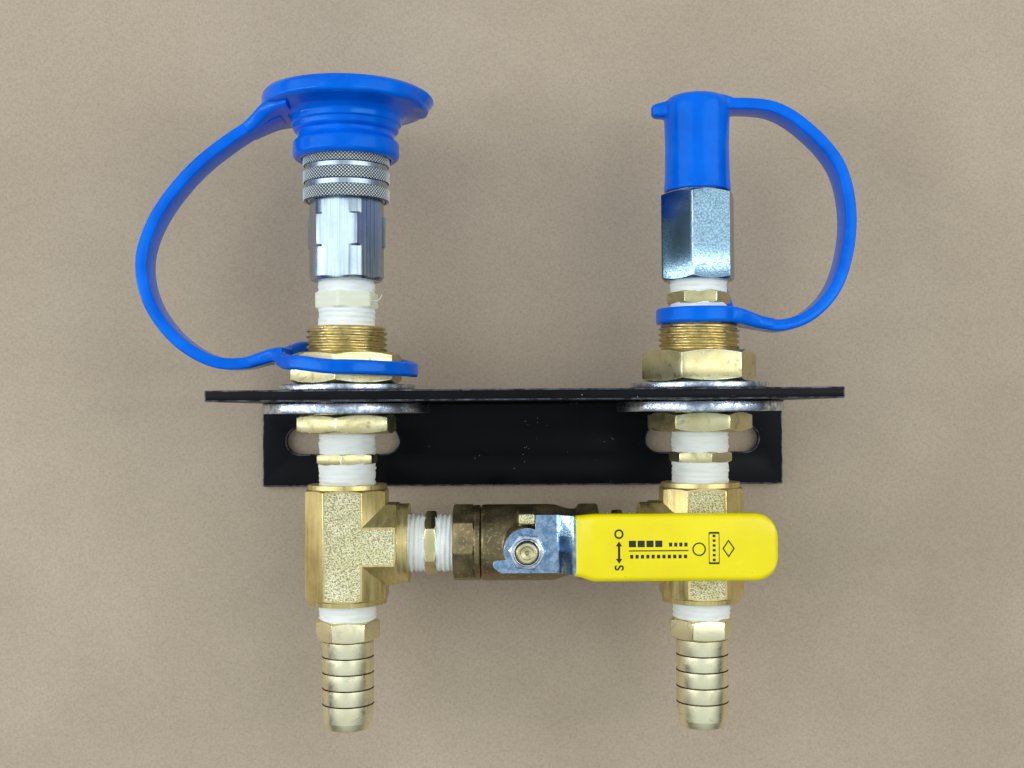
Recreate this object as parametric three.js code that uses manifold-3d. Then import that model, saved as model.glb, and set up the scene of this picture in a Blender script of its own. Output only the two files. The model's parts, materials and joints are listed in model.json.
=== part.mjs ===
// Twin-line fluid manifold on an angle bracket: a quick disconnect coupler and its mating plug, each on a
// bulkhead fitting, a tee and a hose barb, joined by a bypass ball valve.
// Millimetres. The part lies on the bracket's back leg: +X runs along the bracket, +Y towards the coupler
// and plug, and +Z away from the surface that the back leg rests on. The origin is on the back leg's outer
// face, halfway along, level with the flange's underside.
import * as THREE from "three";
import { mergeVertices } from "three/addons/utils/BufferGeometryUtils.js";
import Module from "manifold-3d";

const wasm = await Module();
wasm.setup();

// ---- Driving dimensions ----
const GAP = 0.3; // clearance between pieces that touch
const ROUND = 20; // sides of a round piece
const SMALL_ROUND = 12; // sides of a small round piece

const BRACKET = { length: 220.6, depth: 101.6, leg: 39.3, thickness: 4 };
const SLOT = { length: 47.6, width: 11.3, x: 76.4, y: -16 };
const COLUMN_X = 68; // half the distance between the two pipe columns
const AXIS_Z = BRACKET.depth / 2;

const THREAD_R = 10.4; // half-inch taper pipe thread, male
const SOCKET_R = 10.8; // the same thread, female
const FLOW_R = 7.5; // waterway through nipples and barbs
const NIPPLE_FLATS = 21.2;

const UPPER_WASHER = { outer: 26.4, inner: 16.2, y: [BRACKET.thickness + GAP, 6.7] };
const LOWER_WASHER = { outer: 31.8, inner: 16.2, y: [-4.3, -GAP] };
const BULKHEAD = { flats: 34.8, thread: 15.6, hex: [-12, -4.6], top: 28.9 };
const LOCKNUT = { flats: 39, y: [7, 19], bore: 15.9 };

const COUPLER_NIPPLE = { hex: [36.6, 41.8], y: [17, 57.5] };
const LOWER_NIPPLE = { hex: [-24, -19.5], y: [-42.5, -1.5] };
const TEE = { y: -54.2, half: 22.7, reach: 23.8, outer: 15.2, socket: 11.4, flow: 9.2 };
const BARB = { hex: [-91, -83.3], thread: -70, bands: [-91, -97.3, -103.3, -109.3, -115.3], end: -124.8 };
const BARB_R = { crest: 10, root: 9.1, tip: 8.8 };

const VALVE = { x: 0.6, y: TEE.y, half: 27.8, outer: 14.6, flats: 28, head: 8.2 };
const BALL = { r: 9.5, port: 5.6, cavity: 10 };
const VALVE_NIPPLE = { hex: [33.2, 38.2], y: [17.2, 55] };
const STEM_R = 3.95;
const BONNET = { r: 8, top: 72.8, bore: 6.9, boreFloor: 65.5 };
const STOP = { width: 5.8, y: [9.6, 13.4], top: 82.4 };
const PLATE = { z: 79.2, thickness: 2.5, arc: 8.3, low: -7.9, high: 13, bend: 11.4, rise: 5.6, end: 16.3 };
const GRIP = { x: [16.6, 89], y: [-10.3, 13.7], z: [83, 89.2], corner: 7 };
const TONGUE = { end: 84, y: [-6, 10] };

const COUPLER = { flats: 27, y: [46.5, 77.6], fullHex: [59.5, 71.2], turned: 14.4, front: 103.6 };
const SLEEVE = { outer: 16.75, y: [77.3, 101], inner: 15.4, nose: 14.15, shoulder: 92 };
const LOCK_BALL = { r: 1.9, at: 11.9, y: 96.4, count: 6 };
const PLUG = { flats: 26.2, y: [45.8, 80], nose: 9.9, front: 108 };
const COUPLER_CAP = { y: [93.6, 119.5], bore: 17.1, disc: 33.2, plug: 9.6 };
const PLUG_CAP = { y: [80.4, 118], outer: 12.6, bore: 11.4 };
const STRAP = { thickness: 4.4, width: 13.2 };
const COUPLER_RING = { r: [23.7, 27.4], height: 5.4 };
// Height of that ring's middle every 45 degrees from +X towards +Z: it is soft, so it lies unevenly.
const COUPLER_RING_Y = [12.2, 12.4, 12.9, 14.8, 18, 22, 20, 14.6];
const PLUG_RING = { r: [11.7, 16.4], y: [29.3, 35.3] };

// ---- Finishes ----
const finish = (color, metalness, roughness) =>
  new THREE.MeshStandardMaterial({ color, metalness, roughness });
const BLACK_COAT = finish(0x101114, 0.3, 0.45);
const ZINC = finish(0xaab6c4, 1, 0.3);
const MACHINED_BRASS = finish(0xcdbb7a, 1, 0.35);
const FORGED_BRASS = finish(0xb59550, 1, 0.5);
const CAST_BRONZE = finish(0x544732, 0.8, 0.55);
const BRIGHT_STEEL = finish(0xc4c7c9, 1, 0.25);
const SPRING_STEEL = finish(0x9a9da0, 1, 0.35);
const CHROME = finish(0xd6d9dc, 1, 0.1);
const SEAT_POLYMER = finish(0xe9e7df, 0, 0.5);
const SEAL_RUBBER = finish(0x17181a, 0, 0.7);
const BLUE_RUBBER = finish(0x0f4fc4, 0, 0.45);
const YELLOW_VINYL = finish(0xf4d90f, 0, 0.3);

// ---- Solids: joining and cutting ----
function toSolid(geometry) {
  const bare = geometry.clone();
  bare.deleteAttribute("normal");
  bare.deleteAttribute("uv");
  const merged = mergeVertices(bare, 1e-4);
  const vertProperties = new Float32Array(merged.attributes.position.array);
  const triVerts = new Uint32Array(merged.index.array);
  return new wasm.Manifold(new wasm.Mesh({ numProp: 3, vertProperties, triVerts }));
}

function toGeometry(solid) {
  const { vertProperties, triVerts } = solid.getMesh();
  const geometry = new THREE.BufferGeometry();
  geometry.setAttribute("position", new THREE.BufferAttribute(vertProperties, 3));
  geometry.setIndex(new THREE.BufferAttribute(triVerts, 1));
  geometry.computeVertexNormals();
  return geometry;
}

const joined = (...parts) => toGeometry(parts.map(toSolid).reduce((whole, part) => whole.add(part)));
const cut = (body, ...tools) =>
  toGeometry(tools.map(toSolid).reduce((whole, tool) => whole.subtract(tool), toSolid(body)));
const common = (a, b) => toGeometry(toSolid(a).intersect(toSolid(b)));

// ---- Basic shapes, all turned about the Y axis ----
// A profile is a list of [radius, y] points, either closed on itself or starting and ending on the axis.
function turned(profile, sides = ROUND) {
  const points = profile.map(([r, y]) => new THREE.Vector2(r, y));
  if (THREE.ShapeUtils.area(points) < 0) points.reverse();
  if (points[0].x > 0) points.push(points[0].clone());
  return new THREE.LatheGeometry(points, sides);
}

const rod = (r, [low, high], sides = ROUND) => turned([[0, low], [r, low], [r, high], [0, high]], sides);
const tube = (inner, outer, [low, high], sides = ROUND) =>
  turned([[outer, low], [outer, high], [inner, high], [inner, low]], sides);

const cornerRadius = (flats, sides = 6) => flats / 2 / Math.cos(Math.PI / sides);

// A straight prism; corner is the angle of one corner from +X towards +Z, in degrees.
function prism(flats, [low, high], corner = 0, sides = 6) {
  const r = cornerRadius(flats, sides);
  return new THREE.CylinderGeometry(r, r, high - low, sides)
    .rotateY(THREE.MathUtils.degToRad(90 - corner))
    .translate(0, (low + high) / 2, 0);
}

// A hexagon with its corners bevelled at both ends, as on a nut.
function nutBlank(flats, [low, high], corner = 0) {
  const r = cornerRadius(flats) + 0.2;
  const flat = flats * 0.485;
  const bevel = (r - flat) * 0.5;
  const shape = [[0, low], [flat, low], [r, low + bevel], [r, high - bevel], [flat, high], [0, high]];
  return common(prism(flats, [low, high], corner), turned(shape));
}

const alongX = (geometry) => geometry.rotateZ(-Math.PI / 2);
const alongZ = (geometry) => geometry.rotateX(Math.PI / 2);
const block = ([x0, x1], [y0, y1], [z0, z1]) =>
  new THREE.BoxGeometry(x1 - x0, y1 - y0, z1 - z0).translate((x0 + x1) / 2, (y0 + y1) / 2, (z0 + z1) / 2);

class Helix extends THREE.Curve {
  constructor(r, [low, high], turns) {
    super();
    Object.assign(this, { r, low, high, turns });
  }
  getPoint(t, target = new THREE.Vector3()) {
    const angle = t * this.turns * 2 * Math.PI;
    const y = this.low + (this.high - this.low) * t;
    return target.set(this.r * Math.cos(angle), y, this.r * Math.sin(angle));
  }
}

function spring(r, wire, span, turns) {
  const section = new THREE.Shape().absarc(0, 0, wire, 0, 2 * Math.PI);
  const steps = turns * 12;
  const path = new Helix(r, span, turns);
  return new THREE.ExtrudeGeometry(section, { steps, curveSegments: 2, extrudePath: path });
}

// A flat moulded strap along a plane curve, wide across that plane.
function strap(route) {
  const { width, thickness } = STRAP;
  const section = new THREE.Shape()
    .moveTo(-width / 2, -thickness / 2)
    .lineTo(width / 2, -thickness / 2)
    .lineTo(width / 2, thickness / 2)
    .lineTo(-width / 2, thickness / 2);
  const points = route.map(([x, y]) => new THREE.Vector3(x, y, 0));
  const path = new THREE.CatmullRomCurve3(points, false, "centripetal");
  return new THREE.ExtrudeGeometry(section, { steps: 40, extrudePath: path });
}

// ---- Bracket ----
function slotTool(x) {
  const half = SLOT.length / 2 - SLOT.width / 2;
  const outline = new THREE.Shape()
    .absarc(x + half, SLOT.y, SLOT.width / 2, -Math.PI / 2, Math.PI / 2)
    .absarc(x - half, SLOT.y, SLOT.width / 2, Math.PI / 2, (3 * Math.PI) / 2);
  const through = { depth: 3 * BRACKET.thickness, bevelEnabled: false, curveSegments: 6 };
  return new THREE.ExtrudeGeometry(outline, through).translate(0, 0, -BRACKET.thickness);
}

function bracket() {
  const { length, depth, leg, thickness } = BRACKET;
  const span = [-length / 2, length / 2];
  const flange = block(span, [0, thickness], [0, depth]);
  const backLeg = block(span, [thickness - leg, thickness], [0, thickness]);
  const hole = (x) => rod(BULKHEAD.thread + 0.6, [-thickness, 2 * thickness]).translate(x, 0, AXIS_Z);
  return cut(joined(flange, backLeg), hole(-COLUMN_X), hole(COLUMN_X), slotTool(-SLOT.x), slotTool(SLOT.x));
}

// ---- Pipe fittings ----
function bulkhead(corner) {
  const { flats, thread, hex, top } = BULKHEAD;
  const body = joined(nutBlank(flats, hex, corner), rod(thread, [hex[1] - 1, top]));
  return cut(body, rod(SOCKET_R, [hex[0] - 1, top + 1]));
}

function locknut(corner) {
  const { flats, y, bore } = LOCKNUT;
  return cut(nutBlank(flats, y, corner), rod(bore, [y[0] - 1, y[1] + 1]));
}

function nipple({ hex, y }, corner) {
  const body = joined(nutBlank(NIPPLE_FLATS, hex, corner), rod(THREAD_R, y, SMALL_ROUND));
  return cut(body, rod(FLOW_R, [y[0] - 1, y[1] + 1], SMALL_ROUND));
}

// The tee's centre is on the origin and its branch points along +X.
function tee() {
  const { half, reach, outer, socket, flow } = TEE;
  const run = turned([
    [0, -half], [outer, -half], [outer, 3 - half], [outer - 1, 4.5 - half],
    [outer - 1, half - 4.5], [outer, half - 3], [outer, half], [0, half],
  ]);
  const neck = outer - 1.6;
  const halfSide = Math.PI / ROUND;
  const branch = alongX(turned([
    [0, 0], [neck, 0], [neck, reach - 5], [outer, reach - 3.5], [outer, reach], [0, reach],
  ]).rotateY(halfSide));
  const sockets = [
    rod(SOCKET_R, [half - socket, half + 1]),
    rod(SOCKET_R, [-half - 1, socket - half]),
    alongX(rod(SOCKET_R, [reach - socket + GAP, reach + 1])),
  ];
  const inner = half - socket + 1;
  const waterways = [rod(flow, [-inner, inner]), alongX(rod(flow - 0.4, [0, reach - socket + 1]))];
  return cut(joined(run, branch), ...sockets, ...waterways);
}

function hoseBarb(corner) {
  const { hex, thread, bands, end } = BARB;
  const profile = [[0, bands[0] + 1], [BARB_R.root, bands[0] + 1]];
  for (const y of bands) profile.push([BARB_R.root, y + 0.3], [BARB_R.crest, y]);
  profile.push([BARB_R.tip, end], [0, end]);
  const shank = rod(THREAD_R, [hex[1] - 1, thread], SMALL_ROUND);
  const body = joined(nutBlank(NIPPLE_FLATS, hex, corner), turned(profile), shank);
  return cut(body, rod(FLOW_R, [end - 1, thread + 1], SMALL_ROUND));
}

// ---- Ball valve, with its pipeline along X and its stem along Z ----
function valveBody() {
  const { half, outer, flats, head } = VALVE;
  const mouth = 2.5 - half + head;
  const neck = outer - 2.2;
  const shell = alongX(turned([
    [0, mouth], [outer, mouth], [outer, 12], [neck, 17], [neck, half - 3], [0, half - 3],
  ]));
  const end = alongX(prism(flats, [half - head, half], 80, 8));
  const bonnet = alongZ(rod(BONNET.r, [8, BONNET.top - AXIS_Z]));
  const stop = block([-STOP.width / 2, STOP.width / 2], STOP.y, [8, STOP.top - AXIS_Z]);
  const web = block([-STOP.width / 2, STOP.width / 2], [0, STOP.y[1]], [8, BONNET.top - AXIS_Z - 2]);
  const bores = [
    alongX(rod(11.8, [-half, -10.9])),
    alongX(rod(BALL.cavity, [-11, 11.1])),
    alongX(rod(6.5, [10, 16])),
    alongX(rod(SOCKET_R, [15, half + 1])),
    alongZ(rod(STEM_R + GAP, [8, BONNET.top - AXIS_Z + 1], SMALL_ROUND)),
    alongZ(rod(BONNET.bore, [BONNET.boreFloor - AXIS_Z, BONNET.top - AXIS_Z + 1], SMALL_ROUND)),
  ];
  return cut(joined(shell, end, bonnet, web, stop), ...bores);
}

function valveInsert() {
  const { half, flats, head, outer } = VALVE;
  const shoulder = 2.2 - half + head;
  const body = joined(
    alongX(prism(flats, [-half, head - half], 80, 8)),
    alongX(rod(outer - 0.4, [head - half - 0.5, shoulder])),
    alongX(rod(11.4, [shoulder - 1, -11.1])),
  );
  return cut(body, alongX(rod(SOCKET_R, [-half - 1, -15])), alongX(rod(6.5, [-16, -10])));
}

const ballSlot = (grow) => [[-3.4 - grow, 3.4 + grow], [-1.1 - grow, 1.1 + grow]];

function valveBall() {
  const ball = new THREE.SphereGeometry(BALL.r, 16, 10);
  const port = alongX(rod(BALL.port, [-12, 12], SMALL_ROUND));
  const [slotX, slotY] = ballSlot(GAP);
  return cut(ball, port, block(slotX, slotY, [7, 12]));
}

// side is -1 or 1: which way along X the seat faces away from the ball.
function valveSeat(side) {
  const profile = [[6.2, 8], [9.6, 4.5], [9.6, 10.7], [6.2, 10.7]];
  return alongX(turned(profile.map(([r, x]) => [r, side * x])));
}

function valveStem() {
  const foot = BALL.r + GAP;
  const [slotX, slotY] = ballSlot(0);
  return joined(alongZ(rod(STEM_R, [foot, 37.6], SMALL_ROUND)), block(slotX, slotY, [7.4, foot + 1]));
}

// The handle's flat plate turns round the stem, and its ear and its shoulder meet the stop.
function platePlan() {
  const { arc, low, high, bend } = PLATE;
  const shoulder = STOP.width / 2 + GAP;
  const ear = -12.2;
  const notch = -shoulder;
  const plan = new THREE.Shape()
    .moveTo(bend, low)
    .lineTo(bend, high)
    .lineTo(shoulder, high)
    .absarc(0, 0, arc, Math.acos(shoulder / arc), Math.PI + Math.asin(-notch / arc))
    .lineTo(ear + 0.8, notch)
    .lineTo(ear, notch - 1)
    .lineTo(ear, notch - 2.4)
    .lineTo(ear + 2.6, low);
  plan.holes.push(new THREE.Path().absarc(0, 0, STEM_R + GAP, 0, 2 * Math.PI, true));
  return new THREE.ExtrudeGeometry(plan, { depth: PLATE.thickness, bevelEnabled: false, curveSegments: 16 });
}

function handlePlate() {
  const { bend, end, rise, thickness, low, high } = PLATE;
  const ramp = new THREE.Shape()
    .moveTo(bend - 0.4, 0)
    .lineTo(bend + 0.8, 0)
    .lineTo(end - 0.6, rise)
    .lineTo(end, rise)
    .lineTo(end, rise + thickness)
    .lineTo(end - 1.6, rise + thickness)
    .lineTo(bend - 0.2, thickness)
    .lineTo(bend - 0.4, thickness);
  const raised = new THREE.ExtrudeGeometry(ramp, { depth: high - low, bevelEnabled: false })
    .rotateX(Math.PI / 2)
    .translate(0, high, 0);
  const tongue = block([end - 0.5, TONGUE.end], TONGUE.y, [rise, rise + thickness]);
  return joined(platePlan(), raised, tongue);
}

function handleGrip() {
  const [x0, x1] = GRIP.x;
  const [y0, y1] = GRIP.y;
  const corner = GRIP.corner;
  const bevel = 1.2;
  const outline = new THREE.Shape()
    .moveTo(x0, y0 + 2.4)
    .lineTo(x0 + 9, y0 + bevel)
    .lineTo(x1 - corner, y0 + bevel)
    .absarc(x1 - corner, y0 + corner, corner - bevel, -Math.PI / 2, 0)
    .absarc(x1 - corner, y1 - corner, corner - bevel, 0, Math.PI / 2)
    .lineTo(x0 + 9, y1 - bevel)
    .lineTo(x0, y1 - bevel - 0.5);
  const depth = GRIP.z[1] - GRIP.z[0] - 2 * bevel;
  const shape = { depth, bevelThickness: bevel, bevelSize: bevel, bevelSegments: 1, curveSegments: 6 };
  const skin = new THREE.ExtrudeGeometry(outline, shape).translate(0, 0, GRIP.z[0] + bevel - PLATE.z);
  const beforeGrip = block([0, x0], [-30, 30], [-10, 20]);
  const pocketZ = [PLATE.rise - GAP, PLATE.rise + PLATE.thickness + GAP];
  const pocket = block([0, TONGUE.end + GAP], [TONGUE.y[0] - GAP, TONGUE.y[1] + GAP], pocketZ);
  return cut(skin, beforeGrip, pocket);
}

const handleNut = () => {
  const low = PLATE.z + PLATE.thickness + GAP;
  const span = [low, low + 4.6];
  return cut(nutBlank(11.6, span, 6), rod(STEM_R + GAP, [low - 1, low + 6], SMALL_ROUND));
};

// ---- Quick disconnect coupler, the female half ----
function couplerBody() {
  const { flats, y, fullHex, turned: r, front } = COUPLER;
  const corners = cornerRadius(flats) + 0.3;
  const reliefs = turned([
    [0, y[0]], [r, y[0]], [r, fullHex[0] - 0.6], [corners, fullHex[0]],
    [corners, fullHex[1]], [r, fullHex[1] + 0.6], [r, y[1]], [0, y[1]],
  ]);
  const hex = common(prism(flats, y, 9), reliefs);
  const barrel = turned([
    [0, y[1] - 1], [13, y[1] - 1], [13, y[1]], [15, y[1]], [15, 80], [13.2, 80], [13.2, 101.3], [12.7, 101.3],
    [12.7, 102.5], [13.2, 102.5], [13.2, front - 0.6], [12.6, front], [0, front],
  ]);
  const inside = turned([
    [0, y[0] - 1], [SOCKET_R, y[0] - 1], [SOCKET_R, 60], [9.8, 60], [9.8, 81], [7.4, 83], [7.4, 85],
    [10.2, 85], [10.2, 87], [11.6, 87], [11.6, 90.4], [10.2, 90.4], [10.2, front + 1], [0, front + 1],
  ]);
  const ballHoles = lockBallPlaces().map((angle) =>
    alongX(rod(LOCK_BALL.r + GAP, [8, 15], 8)).rotateY(angle).translate(0, LOCK_BALL.y, 0),
  );
  return cut(joined(hex, barrel), inside, ...ballHoles);
}

function lockBallPlaces() {
  return Array.from({ length: LOCK_BALL.count }, (_, i) => (i * 2 * Math.PI) / LOCK_BALL.count);
}

function lockBall(angle) {
  const [x, z] = [LOCK_BALL.at * Math.cos(angle), -LOCK_BALL.at * Math.sin(angle)];
  return new THREE.SphereGeometry(LOCK_BALL.r, 8, 5).translate(x, LOCK_BALL.y, z);
}

// The grip sleeve has three knurled bands with smooth grooves between them.
function couplerSleeve() {
  const { outer, y, inner, nose, shoulder } = SLEEVE;
  const groove = outer - 0.9;
  return turned([
    [outer - 0.5, y[0]], [outer, y[0] + 0.5], [outer, 82], [groove, 82.4], [groove, 84.2], [outer, 84.6],
    [outer, 88.7], [groove, 89.1], [groove, 90.6], [outer, 91], [outer, y[1] - 0.6], [outer - 0.6, y[1]],
    [nose, y[1]], [nose, shoulder], [inner, shoulder], [inner, y[0]],
  ]);
}

function poppet(head, stem, [foot, seat], nose) {
  return turned([
    [0, foot], [stem, foot], [stem, seat - 4], [head, seat - 4], [head, seat - 1.6],
    [stem + 2.4, seat], [stem + 1, seat + 0.4], [stem + 1, nose], [0, nose],
  ], SMALL_ROUND);
}

// A perforated disc that carries the poppet's stem and the foot of its spring.
function poppetGuide(outer, [low, high]) {
  const disc = tube(2.6, outer, [low, high], SMALL_ROUND);
  const ports = [0, 1, 2, 3].map((i) =>
    rod(1.7, [low - 1, high + 1], 8).translate(5.2, 0, 0).rotateY((i + 0.5) * (Math.PI / 2)),
  );
  return cut(disc, ...ports);
}

// ---- Plug, the male half ----
function plugBody() {
  const { flats, y, nose, front } = PLUG;
  const hex = nutBlank(flats, y, 46);
  const stub = turned([
    [0, y[1] - 1], [10.9, y[1] - 1], [10.9, 84], [nose, 85], [nose, 91.6], [8.9, 93], [8.9, 94.4],
    [nose, 95.8], [nose, front - 2.5], [8.6, front], [0, front],
  ]);
  const inside = turned([
    [0, y[0] - 1], [SOCKET_R, y[0] - 1], [SOCKET_R, 60], [7.8, 60], [7.8, 100.4], [5.6, 102.6],
    [5.6, front + 1], [0, front + 1],
  ]);
  return cut(joined(hex, stub), inside);
}

// ---- Dust caps and their tethers ----
function couplerCap() {
  const [mouth, top] = COUPLER_CAP.y;
  const { bore, disc, plug } = COUPLER_CAP;
  return turned([
    [0, mouth + 4], [plug - 1, mouth + 4], [plug, mouth + 5.4], [plug, 104.4], [bore, 104.4], [bore, mouth],
    [20.1, mouth], [20.6, mouth + 0.5], [20.6, 101], [18.6, 101.6], [18.6, 104], [21.3, 104.6],
    [21.3, 109.4], [20.4, 110.2], [20.4, 111], [disc - 4, 112.6], [disc, 113.4], [disc, top - 0.8],
    [disc - 1, top], [0, top],
  ]);
}

function couplerCapRing() {
  const { r, height } = COUPLER_RING;
  const ring = tube(...r, [-height / 2, height / 2], 24);
  const points = ring.attributes.position;
  for (let i = 0; i < points.count; i += 1) {
    const turn = Math.atan2(points.getZ(i), points.getX(i)) / (2 * Math.PI);
    points.setY(i, points.getY(i) + ringHeight(turn));
  }
  return ring;
}

// turn is a part of a full circle; between two given heights the ring eases from one to the next.
function ringHeight(turn) {
  const count = COUPLER_RING_Y.length;
  const place = THREE.MathUtils.euclideanModulo(turn, 1) * count;
  const first = Math.floor(place);
  const blend = THREE.MathUtils.smoothstep(place - first, 0, 1);
  const [from, to] = [COUPLER_RING_Y[first % count], COUPLER_RING_Y[(first + 1) % count]];
  return from + (to - from) * blend;
}

function plugCap() {
  const [mouth, top] = PLUG_CAP.y;
  const { outer, bore } = PLUG_CAP;
  const shell = turned([
    [0, 110], [bore - 1, 110], [bore, 109], [bore, mouth], [outer + 0.3, mouth], [outer, mouth + 6],
    [outer, top - 3], [outer - 1, top - 1], [outer - 4, top], [0, top],
  ]);
  const tab = block([-outer - 5.2, 1 - outer], [109.4, 115], [-2.4, 2.4]);
  return joined(shell, tab);
}

// ---- Assembly ----
const manifold = new THREE.Group();

function frame(x, y, z) {
  const group = new THREE.Group();
  group.position.set(x, y, z);
  manifold.add(group);
  return group;
}

function add(group, name, geometry, material) {
  const mesh = new THREE.Mesh(geometry, material);
  mesh.name = name;
  group.add(mesh);
  return mesh;
}

const left = frame(-COLUMN_X, 0, AXIS_Z);
const right = frame(COLUMN_X, 0, AXIS_Z);
const pipeline = frame(0, VALVE.y, AXIS_Z);
const valve = frame(VALVE.x, VALVE.y, AXIS_Z);
const handle = frame(VALVE.x, VALVE.y, PLATE.z);

add(manifold, "bracket", bracket(), BLACK_COAT);

// The two columns hold the same fittings, tightened to different angles.
const COLUMNS = [
  { side: "left", group: left, bulkhead: 34, locknut: 34, upper: 38, lower: 34, barb: 52, branch: 0 },
  { side: "right", group: right, bulkhead: 5, locknut: 55, upper: 4, lower: 18, barb: 54, branch: Math.PI },
];
for (const column of COLUMNS) {
  const { side, group } = column;
  add(group, `washer_upper_${side}`, tube(UPPER_WASHER.inner, UPPER_WASHER.outer, UPPER_WASHER.y), ZINC);
  add(group, `washer_lower_${side}`, tube(LOWER_WASHER.inner, LOWER_WASHER.outer, LOWER_WASHER.y), ZINC);
  add(group, `bulkhead_${side}`, bulkhead(column.bulkhead), MACHINED_BRASS);
  add(group, `locknut_${side}`, locknut(column.locknut), MACHINED_BRASS);
  add(group, `nipple_upper_${side}`, nipple(COUPLER_NIPPLE, column.upper), MACHINED_BRASS);
  add(group, `nipple_lower_${side}`, nipple(LOWER_NIPPLE, column.lower), MACHINED_BRASS);
  add(group, `tee_${side}`, tee().rotateY(column.branch).translate(0, TEE.y, 0), FORGED_BRASS);
  add(group, `hose_barb_${side}`, hoseBarb(column.barb), MACHINED_BRASS);
}

// Ball valve between the tees.
const mirrored = ({ hex, y }) => ({ hex: [-hex[1], -hex[0]], y: [-y[1], -y[0]] });
add(pipeline, "nipple_valve_left", alongX(nipple(mirrored(VALVE_NIPPLE), 1)), MACHINED_BRASS);
add(pipeline, "nipple_valve_right", alongX(nipple(VALVE_NIPPLE, 1)), MACHINED_BRASS);
add(valve, "valve_body", valveBody(), CAST_BRONZE);
add(valve, "valve_insert", valveInsert(), CAST_BRONZE);
add(valve, "valve_ball", valveBall(), CHROME);
add(valve, "valve_seat_left", valveSeat(-1), SEAT_POLYMER);
add(valve, "valve_seat_right", valveSeat(1), SEAT_POLYMER);
add(valve, "valve_stem", valveStem(), MACHINED_BRASS);

// Round pieces on the stem, whose spans are heights above the resting surface.
const stemPiece = (geometry) => alongZ(geometry).translate(0, 0, -AXIS_Z);
const packingBore = [STEM_R + GAP, BONNET.bore - GAP];
add(valve, "valve_packing", stemPiece(tube(...packingBore, [65.8, 70.8], SMALL_ROUND)), SEAT_POLYMER);
add(valve, "valve_gland", stemPiece(cut(
  joined(rod(BONNET.bore - GAP, [71.1, 74], SMALL_ROUND), nutBlank(13, [73.1, 78.6], 12)),
  rod(STEM_R + GAP, [70, 80], SMALL_ROUND),
)), MACHINED_BRASS);
add(handle, "handle_plate", handlePlate(), ZINC);
add(handle, "handle_grip", handleGrip(), YELLOW_VINYL);
add(valve, "handle_nut", stemPiece(handleNut()), ZINC);

// Coupler on the left column.
add(left, "coupler_body", couplerBody(), BRIGHT_STEEL);
add(left, "coupler_sleeve", couplerSleeve(), BRIGHT_STEEL);
add(left, "sleeve_spring", spring(14.3, 0.45, [80.9, 91.1], 4), SPRING_STEEL);
add(left, "sleeve_snap_ring", tube(12.95, 14.6, [101.5, 102.3]), SPRING_STEEL);
lockBallPlaces().forEach((angle, i) => add(left, `locking_ball_${i + 1}`, lockBall(angle), CHROME));
add(left, "coupler_packer_seal", tube(9.9, 11.3, [87.3, 90.1]), SEAL_RUBBER);
add(left, "coupler_poppet", poppet(8.6, 2.3, [61, 81.4], 88), MACHINED_BRASS);
add(left, "coupler_poppet_seal", tube(8, 9.2, [80.2, 81.1], SMALL_ROUND), SEAL_RUBBER);
add(left, "coupler_poppet_guide", poppetGuide(9.5, [62.3, 64.3]), MACHINED_BRASS);
add(left, "coupler_poppet_spring", spring(6.6, 0.5, [65.2, 76.6], 4), SPRING_STEEL);

// Plug on the right column.
add(right, "plug_body", plugBody(), BRIGHT_STEEL);
add(right, "plug_poppet", poppet(7, 2.3, [74, 101], 107), MACHINED_BRASS);
add(right, "plug_poppet_seal", tube(6.8, 7.4, [99.7, 100.5], SMALL_ROUND), SEAL_RUBBER);
add(right, "plug_poppet_guide", poppetGuide(7.5, [78, 80]), MACHINED_BRASS);
add(right, "plug_poppet_spring", spring(5.6, 0.5, [81, 96], 5), SPRING_STEEL);

// Dust caps. Each cap, strap and ring is one moulding; the strap is the stretch that bends.
add(left, "coupler_cap", couplerCap(), BLUE_RUBBER);
add(left, "coupler_cap_ring", couplerCapRing(), BLUE_RUBBER);
add(frame(0, 0, AXIS_Z), "coupler_cap_strap", strap([
  [-96.5, 110.2], [-110.5, 102.2], [-127.3, 88.6], [-141, 70.2], [-145.8, 54.5],
  [-142.8, 38.6], [-131.9, 23.8], [-118, 15.8], [-106.5, 15.2], [-96.7, 18.1],
]), BLUE_RUBBER);
add(right, "plug_cap", plugCap(), BLUE_RUBBER);
add(right, "plug_cap_ring", tube(...PLUG_RING.r, PLUG_RING.y), BLUE_RUBBER);
add(frame(0, 0, AXIS_Z), "plug_cap_strap", strap([
  [81.3, 113.6], [97, 112], [109.5, 104.2], [121.5, 90], [125.6, 73], [124, 54.6],
  [118.4, 40.6], [108.6, 31.4], [98.5, 28.4], [91, 29.6], [84.9, 31],
]), BLUE_RUBBER);

export default manifold;
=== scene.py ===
"""Looks for the coupler manifold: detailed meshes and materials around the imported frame.

Shapes are worked out in millimetres in a piece's own axes, where Y is the axis it is turned about, and
are placed by the CAD nodes' boxes. Everything in Blender is in metres.
"""
import json
import math
from contextlib import contextmanager

import bpy
import bmesh
import numpy as np
from mathutils import Matrix, Vector, noise


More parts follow.
